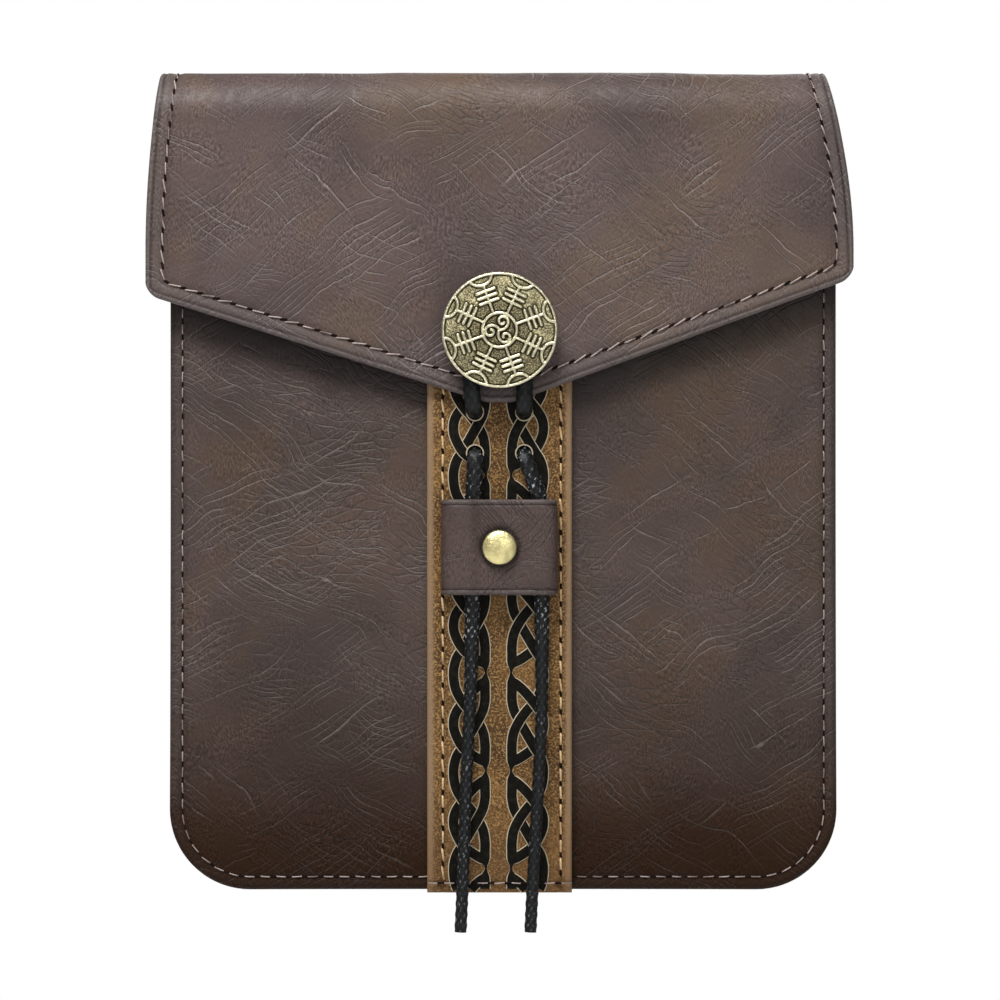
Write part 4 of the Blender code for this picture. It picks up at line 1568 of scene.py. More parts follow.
@dataclass
class Gusset:
    """The strip round the sides and the bottom, with a soft fold along its middle."""

    finish: Material
    inset: float = 0.001
    bend: float = 0.002
    flange: float = 0.009
    thickness: float = 0.0018
    fold_depth: float = 0.0010
    spacing: float = 0.0014
    seed: int = 23

    def build(self) -> None:
        """Makes and dresses the gusset."""
        base = FORM.rim_path(self.inset, FORM.mouth_z, self.spacing)
        wall = np.array(base)
        straight = FORM.body_width / 2 - FORM.body_corner
        centre_z = FORM.bottom_z + FORM.body_corner
        radius = FORM.body_corner - self.inset
        sideways = np.array([(np.clip(x, -straight, straight), max(z, centre_z)) for x, z in base])
        towards = (sideways - wall) / radius
        outer = np.array([self.section(place, inward) for place, inward in zip(wall, towards)])
        along, across = np.meshgrid(*(np.linspace(0, 1, count) for count in outer.shape[:2]), indexing="ij")
        relief = 0.0003 * swell(along * 0.45, across * 0.03, 0.016, self.seed)
        # Painted shade: darker along the middle fold, and a quarter of the painted bottom shade all over.
        values = {"groove_and_painted_shade": 0.55 * hump(across - 0.5, 0.03), "low": np.full(across.shape, 0.25)}
        mesh = LeatherSheet("gusset", outer, self.thickness, relief, values).mesh()
        dress([add_piece("gusset_leather", mesh, self.finish)], Slot.BROWN, "gusset")

    def section(self, place: Array, inward: Array) -> list[Spot]:
        """Runs from the front flange over the bends and the wall to the back flange.

        Args:
            place: where the wall is, as (x, z).
            inward: direction into the body, as (x, z).

        Returns:
            The points.
        """
        back_y = FORM.back_y - FORM.panel_leather - FORM.gap
        bend_place = place + inward * self.bend
        front_y = float(FORM.front_face(bend_place[0], bend_place[1]))
        front_y += FORM.panel_leather + FORM.gap
        flange = place + inward * (self.flange - self.inset)
        points = [(flange[0], front_y, flange[1])]
        for angle in np.linspace(0, np.pi / 2, 6):
            spot = place + inward * self.bend * (1 - math.sin(angle))
            points.append((spot[0], front_y + self.bend * (1 - math.cos(angle)), spot[1]))
        start = front_y + self.bend
        end = back_y - self.bend
        for share in np.linspace(0, 1, 22)[1:-1]:
            sag = self.fold_depth * math.sin(math.pi * share) ** 0.8
            sag += 0.0006 * float(hump(share - 0.5, 0.06))
            spot = place + inward * sag
            points.append((spot[0], start + (end - start) * share, spot[1]))
        for angle in np.linspace(np.pi / 2, 0, 6):
            spot = place + inward * self.bend * (1 - math.sin(angle))
            points.append((spot[0], back_y - self.bend * (1 - math.cos(angle)), spot[1]))
        points.append((flange[0], back_y, flange[1]))
        return points


def ribbon_points(places: Array | Places, spacing: float) -> Array:
    """Reads evenly spaced points off a smooth curve through chosen places.

    Args:
        places: the chosen places, of two or three numbers each.
        spacing: distance between the points.

    Returns:
        The points.
    """
    stops = np.array(places, dtype=float)
    stops = np.concatenate((2 * stops[:1] - stops[1:2], stops, 2 * stops[-1:] - stops[-2:-1]))
    fine = []
    for at in range(1, len(stops) - 2):
        before, start, end, after = stops[at - 1 : at + 3]
        for t in np.linspace(0, 1, 12, endpoint=False):
            bend = (2 * before - 5 * start + 4 * end - after) * t * t
            twist = (3 * start - before - 3 * end + after) * t**3
            fine.append(0.5 * (2 * start + (end - before) * t + bend + twist))
    fine.append(stops[-2])
    fine = np.array(fine)
    lengths = np.concatenate(((0.0,), np.cumsum(np.linalg.norm(np.diff(fine, axis=0), axis=1))))
    wanted = np.linspace(0, lengths[-1], max(2, round(lengths[-1] / spacing) + 1))
    return np.stack([np.interp(wanted, lengths, fine[:, axis]) for axis in range(fine.shape[1])], axis=1)


@dataclass
class Plait:
    """The two columns of plaited strands that are laid on the centre strap."""

    finish: Material
    holes: Places
    hole_radius: float
    strand_width: float = 0.00255
    period: float = 0.02172
    first_vertex: float = -0.0296
    mirror_x: float = -0.00104
    top_z: float = -0.0048
    low_z: float = -0.1212
    base_rise: float = 0.00006
    over_rise: float = 0.00022
    short_strand: tuple[tuple[float, float], ...] = (
        (3.2, 2.1), (5.4, 3.9), (7.8, 6.67), (9.4, 9.0), (9.9, 11.2),
        (9.5, 13.6), (7.9, 16.5), (5.6, 18.4), (3.2, 19.8),
    )
    long_strand: tuple[tuple[float, float], ...] = (
        (2.75, 0.0), (2.95, 1.8), (2.98, 4.0), (2.98, 6.2), (3.5, 8.6), (4.6, 10.75), (6.2, 13.6),
        (7.9, 16.5), (9.3, 18.8), (9.9, 21.9), (9.4, 25.5), (7.8, 28.4), (6.1, 30.4), (4.6, 32.5),
        (3.4, 35.0), (2.98, 37.6), (2.98, 39.6), (2.95, 41.6), (2.75, 43.44),
    )
    short_crossings: tuple[tuple[float, float, bool], ...] = ((7.8, 6.67, True), (7.9, 16.5, False))
    long_crossings: tuple[tuple[float, float, bool], ...] = (
        (4.6, 10.75, False), (7.9, 16.5, True), (7.8, 28.4, False), (4.6, 32.5, True),
    )

    def strand(
        self,
        places: tuple[tuple[float, float], ...],
        crossings: tuple[tuple[float, float, bool], ...],
        side: Side,
        start_z: float,
    ) -> tuple[Array, Array] | None:
        """Works out one strand's middle line and how high it lies.

        Args:
            places: its places in millimetres from the mirror line and down from a vertex.
            crossings: where it meets another strand, and whether it lies over it.
            side: which column it belongs to.
            start_z: height of the vertex that it starts from.

        Returns:
            Points as (x, z) with a rise for each, or None where none of it is on the strap.
        """
        path = ribbon_points([(u / 1000, t / 1000) for u, t in places], 0.00035)
        rise = np.full(len(path), self.base_rise)
        for u, t, is_over in crossings:
            near = np.hypot(path[:, 0] - u / 1000, path[:, 1] - t / 1000)
            lies_over = is_over if side is Side.RIGHT else not is_over
            rise += (self.over_rise if lies_over else 0.0) * hump(near, 0.0019)
        x = self.mirror_x + side.value * path[:, 0]
        z = start_z - path[:, 1]
        kept = (z < self.top_z) & (z > self.low_z)
        if kept.sum() < 4:
            return None
        return np.stack((x, z), axis=1)[kept], rise[kept]

    def ribbon(self, path: Array, rise: Array, start_z: float) -> tuple[Array, Array]:
        """Makes a strand's grid of points, domed across and narrow where two strands meet.

        Args:
            path: its middle line as (x, z).
            rise: how high it lies at each point.
            start_z: height of the vertex that it starts from.

        Returns:
            The grid, and how far each point is across, from -1 to 1.
        """
        along = np.gradient(path, axis=0)
        along /= np.linalg.norm(along, axis=1, keepdims=True)
        sideways = np.stack((-along[:, 1], along[:, 0]), axis=1)
        shares = np.array((-1.0, -0.9, -0.78, -0.5, 0.0, 0.5, 0.78, 0.9, 1.0))
        from_vertex = (start_z - path[:, 1] + self.period / 2) % self.period - self.period / 2
        inner = smooth_step((0.0040 - np.abs(path[:, 0] - self.mirror_x)) / 0.0006)
        half = self.strand_width / 2 * (1 - 0.78 * inner * hump(from_vertex, 0.0013))
        flat = path[:, None, :] + sideways[:, None, :] * half[:, None, None] * shares[None, :, None]
        x = flat[..., 0]
        z = flat[..., 1]
        dome = 0.00012 * (1 - shares**2)[None, :] - 0.00008 * (np.abs(shares) > 0.95)
        y = FORM.strap_face(x, z) - rise[:, None] - dome
        return np.stack((x, y, z), axis=2), np.abs(shares)[None, :] + np.zeros_like(x)

    def hole_line(self, x: float, z: float) -> tuple[Array, Array]:
        """Makes the pale line round a cord hole, as a grid with its shares across.

        Args:
            x: the hole's place across.
            z: the hole's place up.

        Returns:
            The grid and the shares.
        """
        angles = np.linspace(0, 2 * np.pi, 49)[:, None]
        radii = self.hole_radius + np.array((0.00002, 0.00016, 0.00030))[None, :]
        x = x + np.cos(angles) * radii
        z = z + np.sin(angles) * radii
        y = FORM.strap_face(x, z) - 0.00043
        return np.stack((x, y, z), axis=2), np.full(x.shape, 0.95)

    def build(self) -> Object:
        """Makes all the strands as one piece.

        Returns:
            The piece.
        """
        points = []
        faces = []
        across = []
        grids = [self.hole_line(*hole) for hole in self.holes]
        for vertex in range(-2, 5):
            start_z = self.first_vertex - vertex * self.period
            for side in Side:
                for places, crossings in (
                    (self.short_strand, self.short_crossings),
                    (self.long_strand, self.long_crossings),
                ):
                    strand = self.strand(places, crossings, side, start_z)
                    if strand is not None:
                        grids.append(self.ribbon(*strand, start_z))
        for grid, shares in grids:
            rows, columns, _ = grid.shape
            faces += grid_faces(rows, columns, sum(len(part) for part in points))
            points.append(grid.reshape(-1, 3))
            across.append(shares.ravel())
        mesh = new_mesh("plait", np.concatenate(points), faces)
        set_values(mesh, "across", np.concatenate(across))
        shell = bmesh.new()
        shell.from_mesh(mesh)
        for face in shell.faces:
            face.normal_update()
        turned = [face for face in shell.faces if face.normal.y > 0]
        bmesh.ops.reverse_faces(shell, faces=turned)
        over_holes = []
        for face in shell.faces:
            middle = face.calc_center_median()
            if min(math.hypot(middle.x - x, middle.z - z) for x, z in self.holes) < self.hole_radius:
                over_holes.append(face)
        bmesh.ops.delete(shell, geom=over_holes, context="FACES")
        shell.to_mesh(mesh)
        shell.free()
        return add_piece("strap_plait", mesh, self.finish)


@dataclass
class CentreStrap:
    """The tan strap down the front, with four cord holes, sewn edges and a plait."""

    finish: Material
    plait: Material
    thread: Material
    hem_thread: Material
    hole: Material
    width: float = 0.032
    top_drop: float = 0.0642
    lip: float = 0.0004
    stitch_inset: float = 0.0030
    edge_round: float = 0.0008
    hole_radius: float = 0.0017
    hole_spacing: float = 0.0108
    hole_drops: tuple[float, float] = (0.0755, 0.0845)
    stitch_shift: float = 0.0005
    thread_sink: float = 0.00018
    hem_inset: float = 0.0022
    hem_sink: float = -0.00034
    spacing: float = 0.0006
    # Where the painted shade towards the bottom starts, and how far it reaches.
    low_shade_start: float = -0.096
    low_shade_reach: float = 0.024
    seed: int = 41

    def holes(self) -> Places:
        """Places of the four cord holes.

        Returns:
            Places as (x, z).
        """
        return [
            (FORM.shift + side.value * self.hole_spacing / 2, FORM.top_z - drop)
            for drop in self.hole_drops
            for side in Side
        ]

    def sheet(self) -> LeatherSheet:
        """Lays out the strap's grid and its relief.

        Returns:
            The sheet.
        """
        low = FORM.bottom_z - self.lip
        high = FORM.top_z - self.top_drop
        heights = low + edge_shares(high - low, self.spacing)
        places = edge_shares(self.width, self.spacing) - self.width / 2
        x, z = np.meshgrid(FORM.shift + places, heights)
        outer = np.stack((x, FORM.strap_face(x, z), z), axis=2)
        sides = self.width / 2 - np.abs(x - FORM.shift)
        distance = np.minimum(sides, np.minimum(z - low, high - z))
        offset = x - FORM.shift - self.stitch_shift
        seam = self.width / 2 - np.abs(offset) - self.stitch_inset
        hem = z - low - self.hem_inset
        relief = rounded_off(distance, self.edge_round) + 0.00025 * hump(seam, 0.0006)
        relief += 0.00020 * hump(hem, 0.0006)
        relief += 0.00008 * swell(x, z, 0.010, self.seed)
        # Painted shade along the seams and the hem, and round the cord holes.
        dark = 0.30 * hump(seam, 0.0005) + 0.30 * hump(hem, 0.0005)
        for hole_x, hole_z in self.holes():
            reach = np.hypot(x - hole_x, z - hole_z) - self.hole_radius
            relief -= 0.00012 * hump(reach - 0.0003, 0.0003)
            dark += 0.55 * hump(reach, 0.00025)
        values = {
            "rim": 1 - smooth_step((sides - 0.0010) / 0.0008),
            "groove_and_painted_shade": np.clip(dark, 0.0, 0.9),
            # Painted shade: darker towards the bottom.
            "low": 0.50 * smooth_step((self.low_shade_start - z) / self.low_shade_reach),
        }
        return LeatherSheet("centre_strap", outer, FORM.strap_leather, relief, values)

    def cut_holes(self, strap: Object) -> None:
        """Cuts the four holes through the strap.

        Args:
            strap: the strap's piece, whose mesh is replaced.
        """
        cutter = bmesh.new()
        for x, z in self.holes():
            made = bmesh.ops.create_cone(
                cutter, cap_ends=True, segments=28,
                radius1=self.hole_radius, radius2=self.hole_radius, depth=0.02,
            )
            bmesh.ops.rotate(
                cutter, verts=made["verts"], cent=(0, 0, 0),
                matrix=Matrix.Rotation(math.pi / 2, 3, "X"),
            )
            bmesh.ops.translate(
                cutter, verts=made["verts"], vec=(x, float(FORM.strap_face(x, z)), z)
            )
        mesh = bpy.data.meshes.new("strap_hole_cutter")
        cutter.to_mesh(mesh)
        cutter.free()
        rods = add_object("strap_hole_cutter", mesh)
        cut = strap.modifiers.new("holes", "BOOLEAN")
        cut.operation = "DIFFERENCE"
        cut.solver = "EXACT"
        cut.object = rods
        cut_mesh = applied(strap)
        strap.modifiers.clear()
        strap.data = cut_mesh
        bpy.data.objects.remove(rods, do_unlink=True)

    def sewing(self) -> list[Sewing]:
        """Lays out the rows down both edges, and the body's row across the lower end.

        Returns:
            The sewing.
        """
        edges = Sewing("strap", STRAP_SEWING, self.thread, self.hole, self.seed)
        low = FORM.bottom_z + self.hem_inset + 0.0014
        high = FORM.top_z - self.top_drop - 0.002
        heights = np.arange(high, low, -0.001)
        for side in Side:
            x = FORM.shift + self.stitch_shift + side.value * (self.width / 2 - self.stitch_inset)
            edges.add_face_row(FORM.strap_face, [(x, float(z)) for z in heights], self.thread_sink)
        hem = Sewing("strap_hem", BODY_SEWING, self.hem_thread, self.hole, self.seed + 1)
        z = FORM.bottom_z - self.lip + self.hem_inset
        half = self.width / 2 - 0.0012
        places = [(float(FORM.shift + x), z) for x in np.linspace(-half, half, 40)]
        hem.add_face_row(FORM.strap_face, places, self.hem_sink)
        return [edges, hem]

    def build(self) -> None:
        """Makes and dresses the strap with its plait."""
        strap = add_piece("centre_strap_leather", self.sheet().mesh(), self.finish)
        self.cut_holes(strap)
        pieces = [strap, Plait(self.plait, self.holes(), self.hole_radius).build()]
        for row in self.sewing():
            pieces += row.build()
        dress(pieces, Slot.TAN, "centre_strap")


@dataclass
class Keeper:
    """The small dark strap end that stands over both cords."""

    finish: Material
    width: float = 0.0257
    height: float = 0.021
    drop: float = 0.1052
    thickness: float = 0.0015
    rise: float = 0.0050
    edge_round: float = 0.0006
    spacing: float = 0.0006
    line_inset: float = 0.0012
    seed: int = 53
    arch: tuple[tuple[float, float], ...] = (
        (0.00, 0.84), (0.18, 0.84), (0.34, 0.86), (0.50, 0.985), (0.64, 1.00), (0.80, 0.985),
        (0.92, 0.86), (0.985, 0.62), (1.00, 0.40), (1.00, 0.00),
    )

    @property
    def middle_z(self) -> float:
        """Height of the keeper's middle."""
        return FORM.top_z - self.drop

    def build(self) -> None:
        """Makes and dresses the keeper."""
        half = self.width / 2
        right = [(share * half, rise * self.rise) for share, rise in self.arch]
        profile = [(-x, rise) for x, rise in reversed(right[1:])] + right
        line = ribbon_points(profile, 0.0004)
        heights = self.middle_z - self.height / 2 + edge_shares(self.height, self.spacing)
        x, z = np.meshgrid(FORM.shift + line[:, 0], heights)
        y = FORM.strap_face(x, z) - FORM.gap - line[None, :, 1]
        outer = np.stack((x, y, z), axis=2)
        ends = self.height / 2 - np.abs(z - self.middle_z)
        relief = rounded_off(ends, self.edge_round)
        relief += 0.00022 * hump(ends - self.line_inset, 0.00022)
        relief += 0.00012 * swell(x, z, 0.009, self.seed)
        from_rivet = np.hypot(x - FORM.shift, z - self.middle_z)
        relief += 0.00035 * hump(from_rivet - 0.0040, 0.0009)
        relief = np.maximum(relief, -0.0002)
        values = {
            "rim": 0.8 * (1 - smooth_step((ends - 0.0008) / 0.0003)),
            # Painted shadow in the ring round the rivet, and painted shade along the pressed line.
            "groove_and_painted_shade": 0.98 * hump(from_rivet - 0.0041, 0.00042)
            + 0.70 * hump(ends - self.line_inset, 0.0002),
        }
        mesh = LeatherSheet("keeper", outer, self.thickness, relief, values).mesh()
        dress([add_piece("keeper_leather", mesh, self.finish)], Slot.BROWN, "keeper")


def closed_rings(name: str, rings: Array, first: Array | Spot, last: Array | Spot) -> Mesh:
    """Makes a closed mesh of rings with a pole at each end.

    Args:
        name: the mesh's name.
        rings: the points, as rings by points by three.
        first: the pole before the first ring.
        last: the pole after the last ring.

    Returns:
        The mesh, whose points are the first pole, the rings in order and the last pole.
    """
    count, sides, _ = rings.shape
    at = 1 + np.arange(count * sides).reshape(count, sides)
    following = np.roll(at, -1, axis=1)
    walls = np.stack((at[:-1], at[1:], following[1:], following[:-1]), axis=-1).reshape(-1, 4)
    end = 1 + count * sides
    caps = [(0, a, b) for a, b in zip(at[0], following[0])]
    caps += [(a, end, b) for a, b in zip(at[-1], following[-1])]
    faces = [*walls.tolist(), *[tuple(map(int, cap)) for cap in caps]]
    mesh = new_mesh(name, [first, *rings.reshape(-1, 3), last], faces)
    shell = bmesh.new()
    shell.from_mesh(mesh)
    bmesh.ops.recalc_face_normals(shell, faces=shell.faces)
    shell.to_mesh(mesh)
    shell.free()
    return mesh


def turned_solid(name: str, radii: Array, rises: Array, centre: Spot) -> Mesh:
    """Makes a closed round solid that faces -Y.

    Args:
        name: the mesh's name.
        radii: each ring's radius, from the middle of the face to the middle of the back.
        rises: the height of each point of each ring, as rings by points.
        centre: where height 0 lies.

    Returns:
        The mesh, whose points are in the order of closed_rings.
    """
    sides = rises.shape[1]
    angles = np.arange(sides) * 2 * np.pi / sides
    x = centre[0] + radii[:, None] * np.cos(angles)
    z = centre[2] + radii[:, None] * np.sin(angles)
    rings = np.stack((x, centre[1] - rises, z), axis=2)
    poles = [(centre[0], centre[1] - rises[row].mean(), centre[2]) for row in (0, -1)]
    return closed_rings(name, rings, *poles)


@dataclass
class Rivet:
    """The domed rivet through the keeper."""

    finish: Material
    keeper: Keeper
    width: float = 0.0078
    dome: float = 0.0017
    shank_width: float = 0.0024
    cap_width: float = 0.006
    cap_thickness: float = 0.0008
    sides: int = 64

    def build(self) -> None:
        """Makes and dresses the rivet."""
        z = self.keeper.middle_z
        seat_y = float(FORM.strap_face(FORM.shift, z)) - 2 * FORM.gap
        seat_y -= self.keeper.arch[0][1] * self.keeper.rise
        cap_y = float(FORM.front_face(FORM.shift, z)) + FORM.panel_leather + FORM.gap
        shank = cap_y - seat_y
        radius = self.width / 2
        rim = self.dome / 4
        profile = []
        for angle in np.linspace(0.04, np.pi / 2 - 0.35, 16):
            profile.append((radius * math.sin(angle), rim + (self.dome - rim) * math.cos(angle)))
        profile += [(radius * 0.97, rim * 1.25), (radius, rim * 0.8), (radius, 0.0)]
        profile += [(self.shank_width / 2, 0.0), (self.shank_width / 2, -shank)]
        profile += [(self.cap_width / 2, -shank), (self.cap_width / 2, -shank - self.cap_thickness)]
        profile += [(0.0001, -shank - self.cap_thickness)]
        radii = np.array([point[0] for point in profile])
        rises = np.array([point[1] for point in profile])[:, None] + np.zeros((1, self.sides))
        mesh = turned_solid("rivet", radii, rises, (FORM.shift, seat_y, z))
        edge = np.repeat(smooth_step((radius * 0.985 - radii) / 0.0002), self.sides)
        set_ring_values(mesh, "raised", edge, 1.0, 1.0)
        rivet = add_piece("keeper_rivet_dome", mesh, self.finish)
        dress([rivet], Slot.BRASS, "keeper_rivet")


@dataclass
class Concho:
    """The round concho with staves, half rings and three spirals raised on a stippled field."""

    finish: Material
    width: float = 0.0255
    drop: float = 0.0576
    plate: float = 0.0013
    relief: float = 0.0005
    dome: float = 0.0006
    rim_line: float = 0.00056
    ring_line: float = 0.00068
    stave_line: float = 0.00062
    bar_line: float = 0.00068
    spiral_line: float = 0.00066
    collar_length: float = 0.0032
    collar_width: float = 0.0064
    post_width: float = 0.0044
    washer_width: float = 0.010
    washer_thickness: float = 0.0010
    stave_count: int = 8
    stave_turn: float = math.radians(20)
    stave_start: float = 0.30
    stave_end: float = 0.81
    crossbar_places: tuple[float, ...] = (0.515, 0.61, 0.705)
    crossbar_length: float = 0.33
    half_ring_place: float = 0.975
    half_ring_reach: tuple[float, float] = (0.160, 0.195)
    inner_ring_radius: float = 0.295
    spiral_count: int = 3
    spiral_turn: float = math.radians(68)
    spiral_place: float = 0.157
    spiral_stops: tuple[float, ...] = (0.0, 0.1, 0.2, 0.42, 0.63, 0.85, 1.0)
    spiral_reaches: tuple[float, ...] = (0.157, 0.118, 0.094, 0.086, 0.078, 0.048, 0.028)
    spiral_sweep: float = math.radians(425)
    rings: int = 118
    sides: int = 460

    def strokes(self) -> list[tuple[Array, float]]:
        """Works out the ornament's lines as shares of the radius, with their widths in metres.

        Returns:
            The lines.
        """
        made = []
        for number in range(self.stave_count):
            turn = self.stave_turn + 2 * math.pi * number / self.stave_count
            along = np.array((math.cos(turn), math.sin(turn)))
            across = np.array((-along[1], along[0]))
            made.append((np.array((along * self.stave_start, along * self.stave_end)), self.stave_line))
            for place in self.crossbar_places:
                reach = across * self.crossbar_length / 2
                made.append((np.array((along * place - reach, along * place + reach)), self.bar_line))
            angles = np.linspace(-0.46 * math.pi, 0.46 * math.pi, 16)[:, None]
            inward, sideways = self.half_ring_reach
            arc = along * (self.half_ring_place - inward * np.cos(angles))
            made.append((arc + across * sideways * np.sin(angles), self.ring_line))
        circle = np.linspace(0, 2 * math.pi, 61)
        ring = np.stack((np.cos(circle), np.sin(circle)), axis=1) * self.inner_ring_radius
        made.append((ring, self.ring_line))
        for number in range(self.spiral_count):
            turn = self.spiral_turn + 2 * math.pi * number / self.spiral_count
            centre = np.array((math.cos(turn), math.sin(turn))) * self.spiral_place
            share = np.linspace(0, 1, 48)
            reach = np.interp(share, self.spiral_stops, self.spiral_reaches)
            angles = turn + math.pi + self.spiral_sweep * share
            curl = np.stack((np.cos(angles), np.sin(angles)), axis=1) * reach[:, None]
            made.append((centre + curl, self.spiral_line))
        return made

    def stroke_distance(self, places: Array) -> Array:
        """How far places on the face are from the edge of the nearest line, below 0 on a line.

        Args:
            places: places as (x, z) from the middle.

        Returns:
            Distances.
        """
        nearest = np.full(len(places), np.inf)
        radius = self.width / 2
        for stroke, width in self.strokes():
            for start, end in zip(stroke[:-1] * radius, stroke[1:] * radius):
                along = end - start
                share = np.clip((places - start) @ along / (along @ along), 0.0, 1.0)
                gap = np.linalg.norm(places - start - share[:, None] * along, axis=1)
                nearest = np.minimum(nearest, gap - width / 2)
        return nearest

    def build(self) -> None:
        """Makes and dresses the concho."""
        radius = self.width / 2
        radii = np.linspace(0.00005, radius - 0.00025, self.rings)
        angles = np.arange(self.sides) * 2 * np.pi / self.sides
        x = radii[:, None] * np.cos(angles)
        z = radii[:, None] * np.sin(angles)
        away = self.stroke_distance(np.stack((x.ravel(), z.ravel()), axis=1)).reshape(x.shape)
        rim_away = np.abs(radii - (radius - 0.00038))[:, None] - self.rim_line / 2
        away = np.minimum(away, rim_away)
        raised = 1 - smooth_step((away + 0.00010) / 0.00018)
        outline = hump(away - 0.00016, 0.00014)
        crown = 1 - 0.2 * (1 + np.clip(away / 0.00028, -1.0, 0.0))
        share = radii[:, None] / radius
        face = self.relief * raised * crown - 0.00008 * outline + self.dome * (1 - share**2)
        # Brighter towards the rim from wear, and brighter towards the top as a painted highlight.
        wear_and_painted_highlight = smooth_step((share - 0.42) / 0.20) * (0.68 + 0.50 * z / radius)
        back = -self.plate
        foot = back - self.collar_length
        end = foot - FORM.flap_leather - 2 * FORM.gap
        behind = [
            (radius - 0.00006, self.relief * 0.55),
            (radius, self.relief * 0.2),
            (radius, back + self.relief),
            (radius - 0.0001, back + self.relief * 0.4),
            (radius - 0.0006, back),
            (self.collar_width / 2, back),
            (self.collar_width / 2, foot),
            (self.post_width / 2, foot),
            (self.post_width / 2, end),
            (self.washer_width / 2, end),
            (self.washer_width / 2, end - self.washer_thickness),
            (0.0001, end - self.washer_thickness),
        ]
        all_radii = np.concatenate((radii, [place[0] for place in behind]))
        back_rises = np.array([place[1] for place in behind])[:, None] + np.zeros((1, self.sides))
        rises = np.concatenate((face, back_rises))
        top_z = FORM.top_z - self.drop
        field_y = float(FORM.flap_face(FORM.shift, top_z)) - FORM.gap - self.collar_length - self.plate
        mesh = turned_solid("concho", all_radii, rises, (FORM.shift, field_y, top_z))
        rest = np.ones((len(behind), self.sides))
        # Painted shadow: the side wall under the rim takes the dark outline colour.
        edge = rest.copy()
        edge[0] = 0.0
        edge[5:] = 0.0
        set_ring_values(mesh, "raised", np.concatenate((raised, rest - edge)), raised[0].mean(), 1.0)
        set_ring_values(mesh, "outline", np.concatenate((outline, edge)))
        set_ring_values(mesh, "wear_and_painted_highlight", np.concatenate((np.clip(wear_and_painted_highlight, 0.0, 1.0), rest * 0)))
        dress([add_piece("concho_face", mesh, self.finish)], Slot.BRASS, "concho")


@dataclass
class Cord:
    """A stretch of the waxed braided cord."""

    name: str
    route: tuple[tuple[int, int, int], ...]
    finish: Material
    diameter: float = 0.0026
    sides: int = 36
    around: int = 6
    plait_pitch: float = 0.0024
    relief: float = 0.00014
    fullness: float = 0.00010
    ring_spacing: float = 0.00030
    spread: float = 0.36
    spread_y: float = -0.0403
    spread_reach: float = 0.0012
    flattening: float = 0.10
    painted_highlight_start: float = -0.020
    painted_highlight_reach: float = 0.006
    painted_highlight_fade: float = 0.6
    fade_start: float = -0.058
    fade_reach: float = 0.02

    def build(self) -> tuple[Object, Array]:
        """Makes the braided tube.

        Returns:
            The piece, and the points that it follows.
        """
        path = ribbon_points(np.array(self.route) / ROUTE_UNITS, self.ring_spacing)
        along = np.gradient(path, axis=0)
        along /= np.linalg.norm(along, axis=1, keepdims=True)
        side = np.cross(along[0], (0.0, 1.0, 0.0))
        side /= np.linalg.norm(side)
        angles = np.arange(self.sides) * 2 * np.pi / self.sides
        rings = []
        braids = []
        for number, (point, way) in enumerate(zip(path, along)):
            side = side - way * (side @ way)
            side /= np.linalg.norm(side)
            other = np.cross(way, side)
            travelled = number * self.ring_spacing
            wave = np.cos(self.around * angles) * np.cos(2 * np.pi * travelled / self.plait_pitch)
            braid = 0.5 + 0.5 * np.sign(wave) * np.abs(wave) ** 0.7
            radius = self.diameter / 2 + self.fullness - self.relief * (1 - braid)
            pressed = float(smooth_step((self.spread_y - point[1]) / self.spread_reach))
            wide = 1 + self.spread * pressed
            deep = 1 - self.flattening * pressed
            ring = np.cos(angles)[:, None] * side * wide + np.sin(angles)[:, None] * other * deep
            rings.append(point + ring * radius[:, None])
            braids.append(braid)
        mesh = closed_rings(self.name, np.array(rings), path[0], path[-1])
        set_ring_values(mesh, "braid", np.array(braids), 0.4, 0.4)
        height = path[:, 2]
        fade = smooth_step((self.fade_start - height) / self.fade_reach)
        # Painted highlight: no specks on the upper legs, full specks below them, and weaker specks on the
        # tails.
        painted_crest_highlight = smooth_step((self.painted_highlight_start - height) / self.painted_highlight_reach)
        painted_crest_highlight = np.repeat(painted_crest_highlight * (1 - self.painted_highlight_fade * fade), self.sides)
        set_ring_values(mesh, "painted_crest_highlight", painted_crest_highlight)
        return add_piece(self.name + "_braid", mesh, self.finish), path


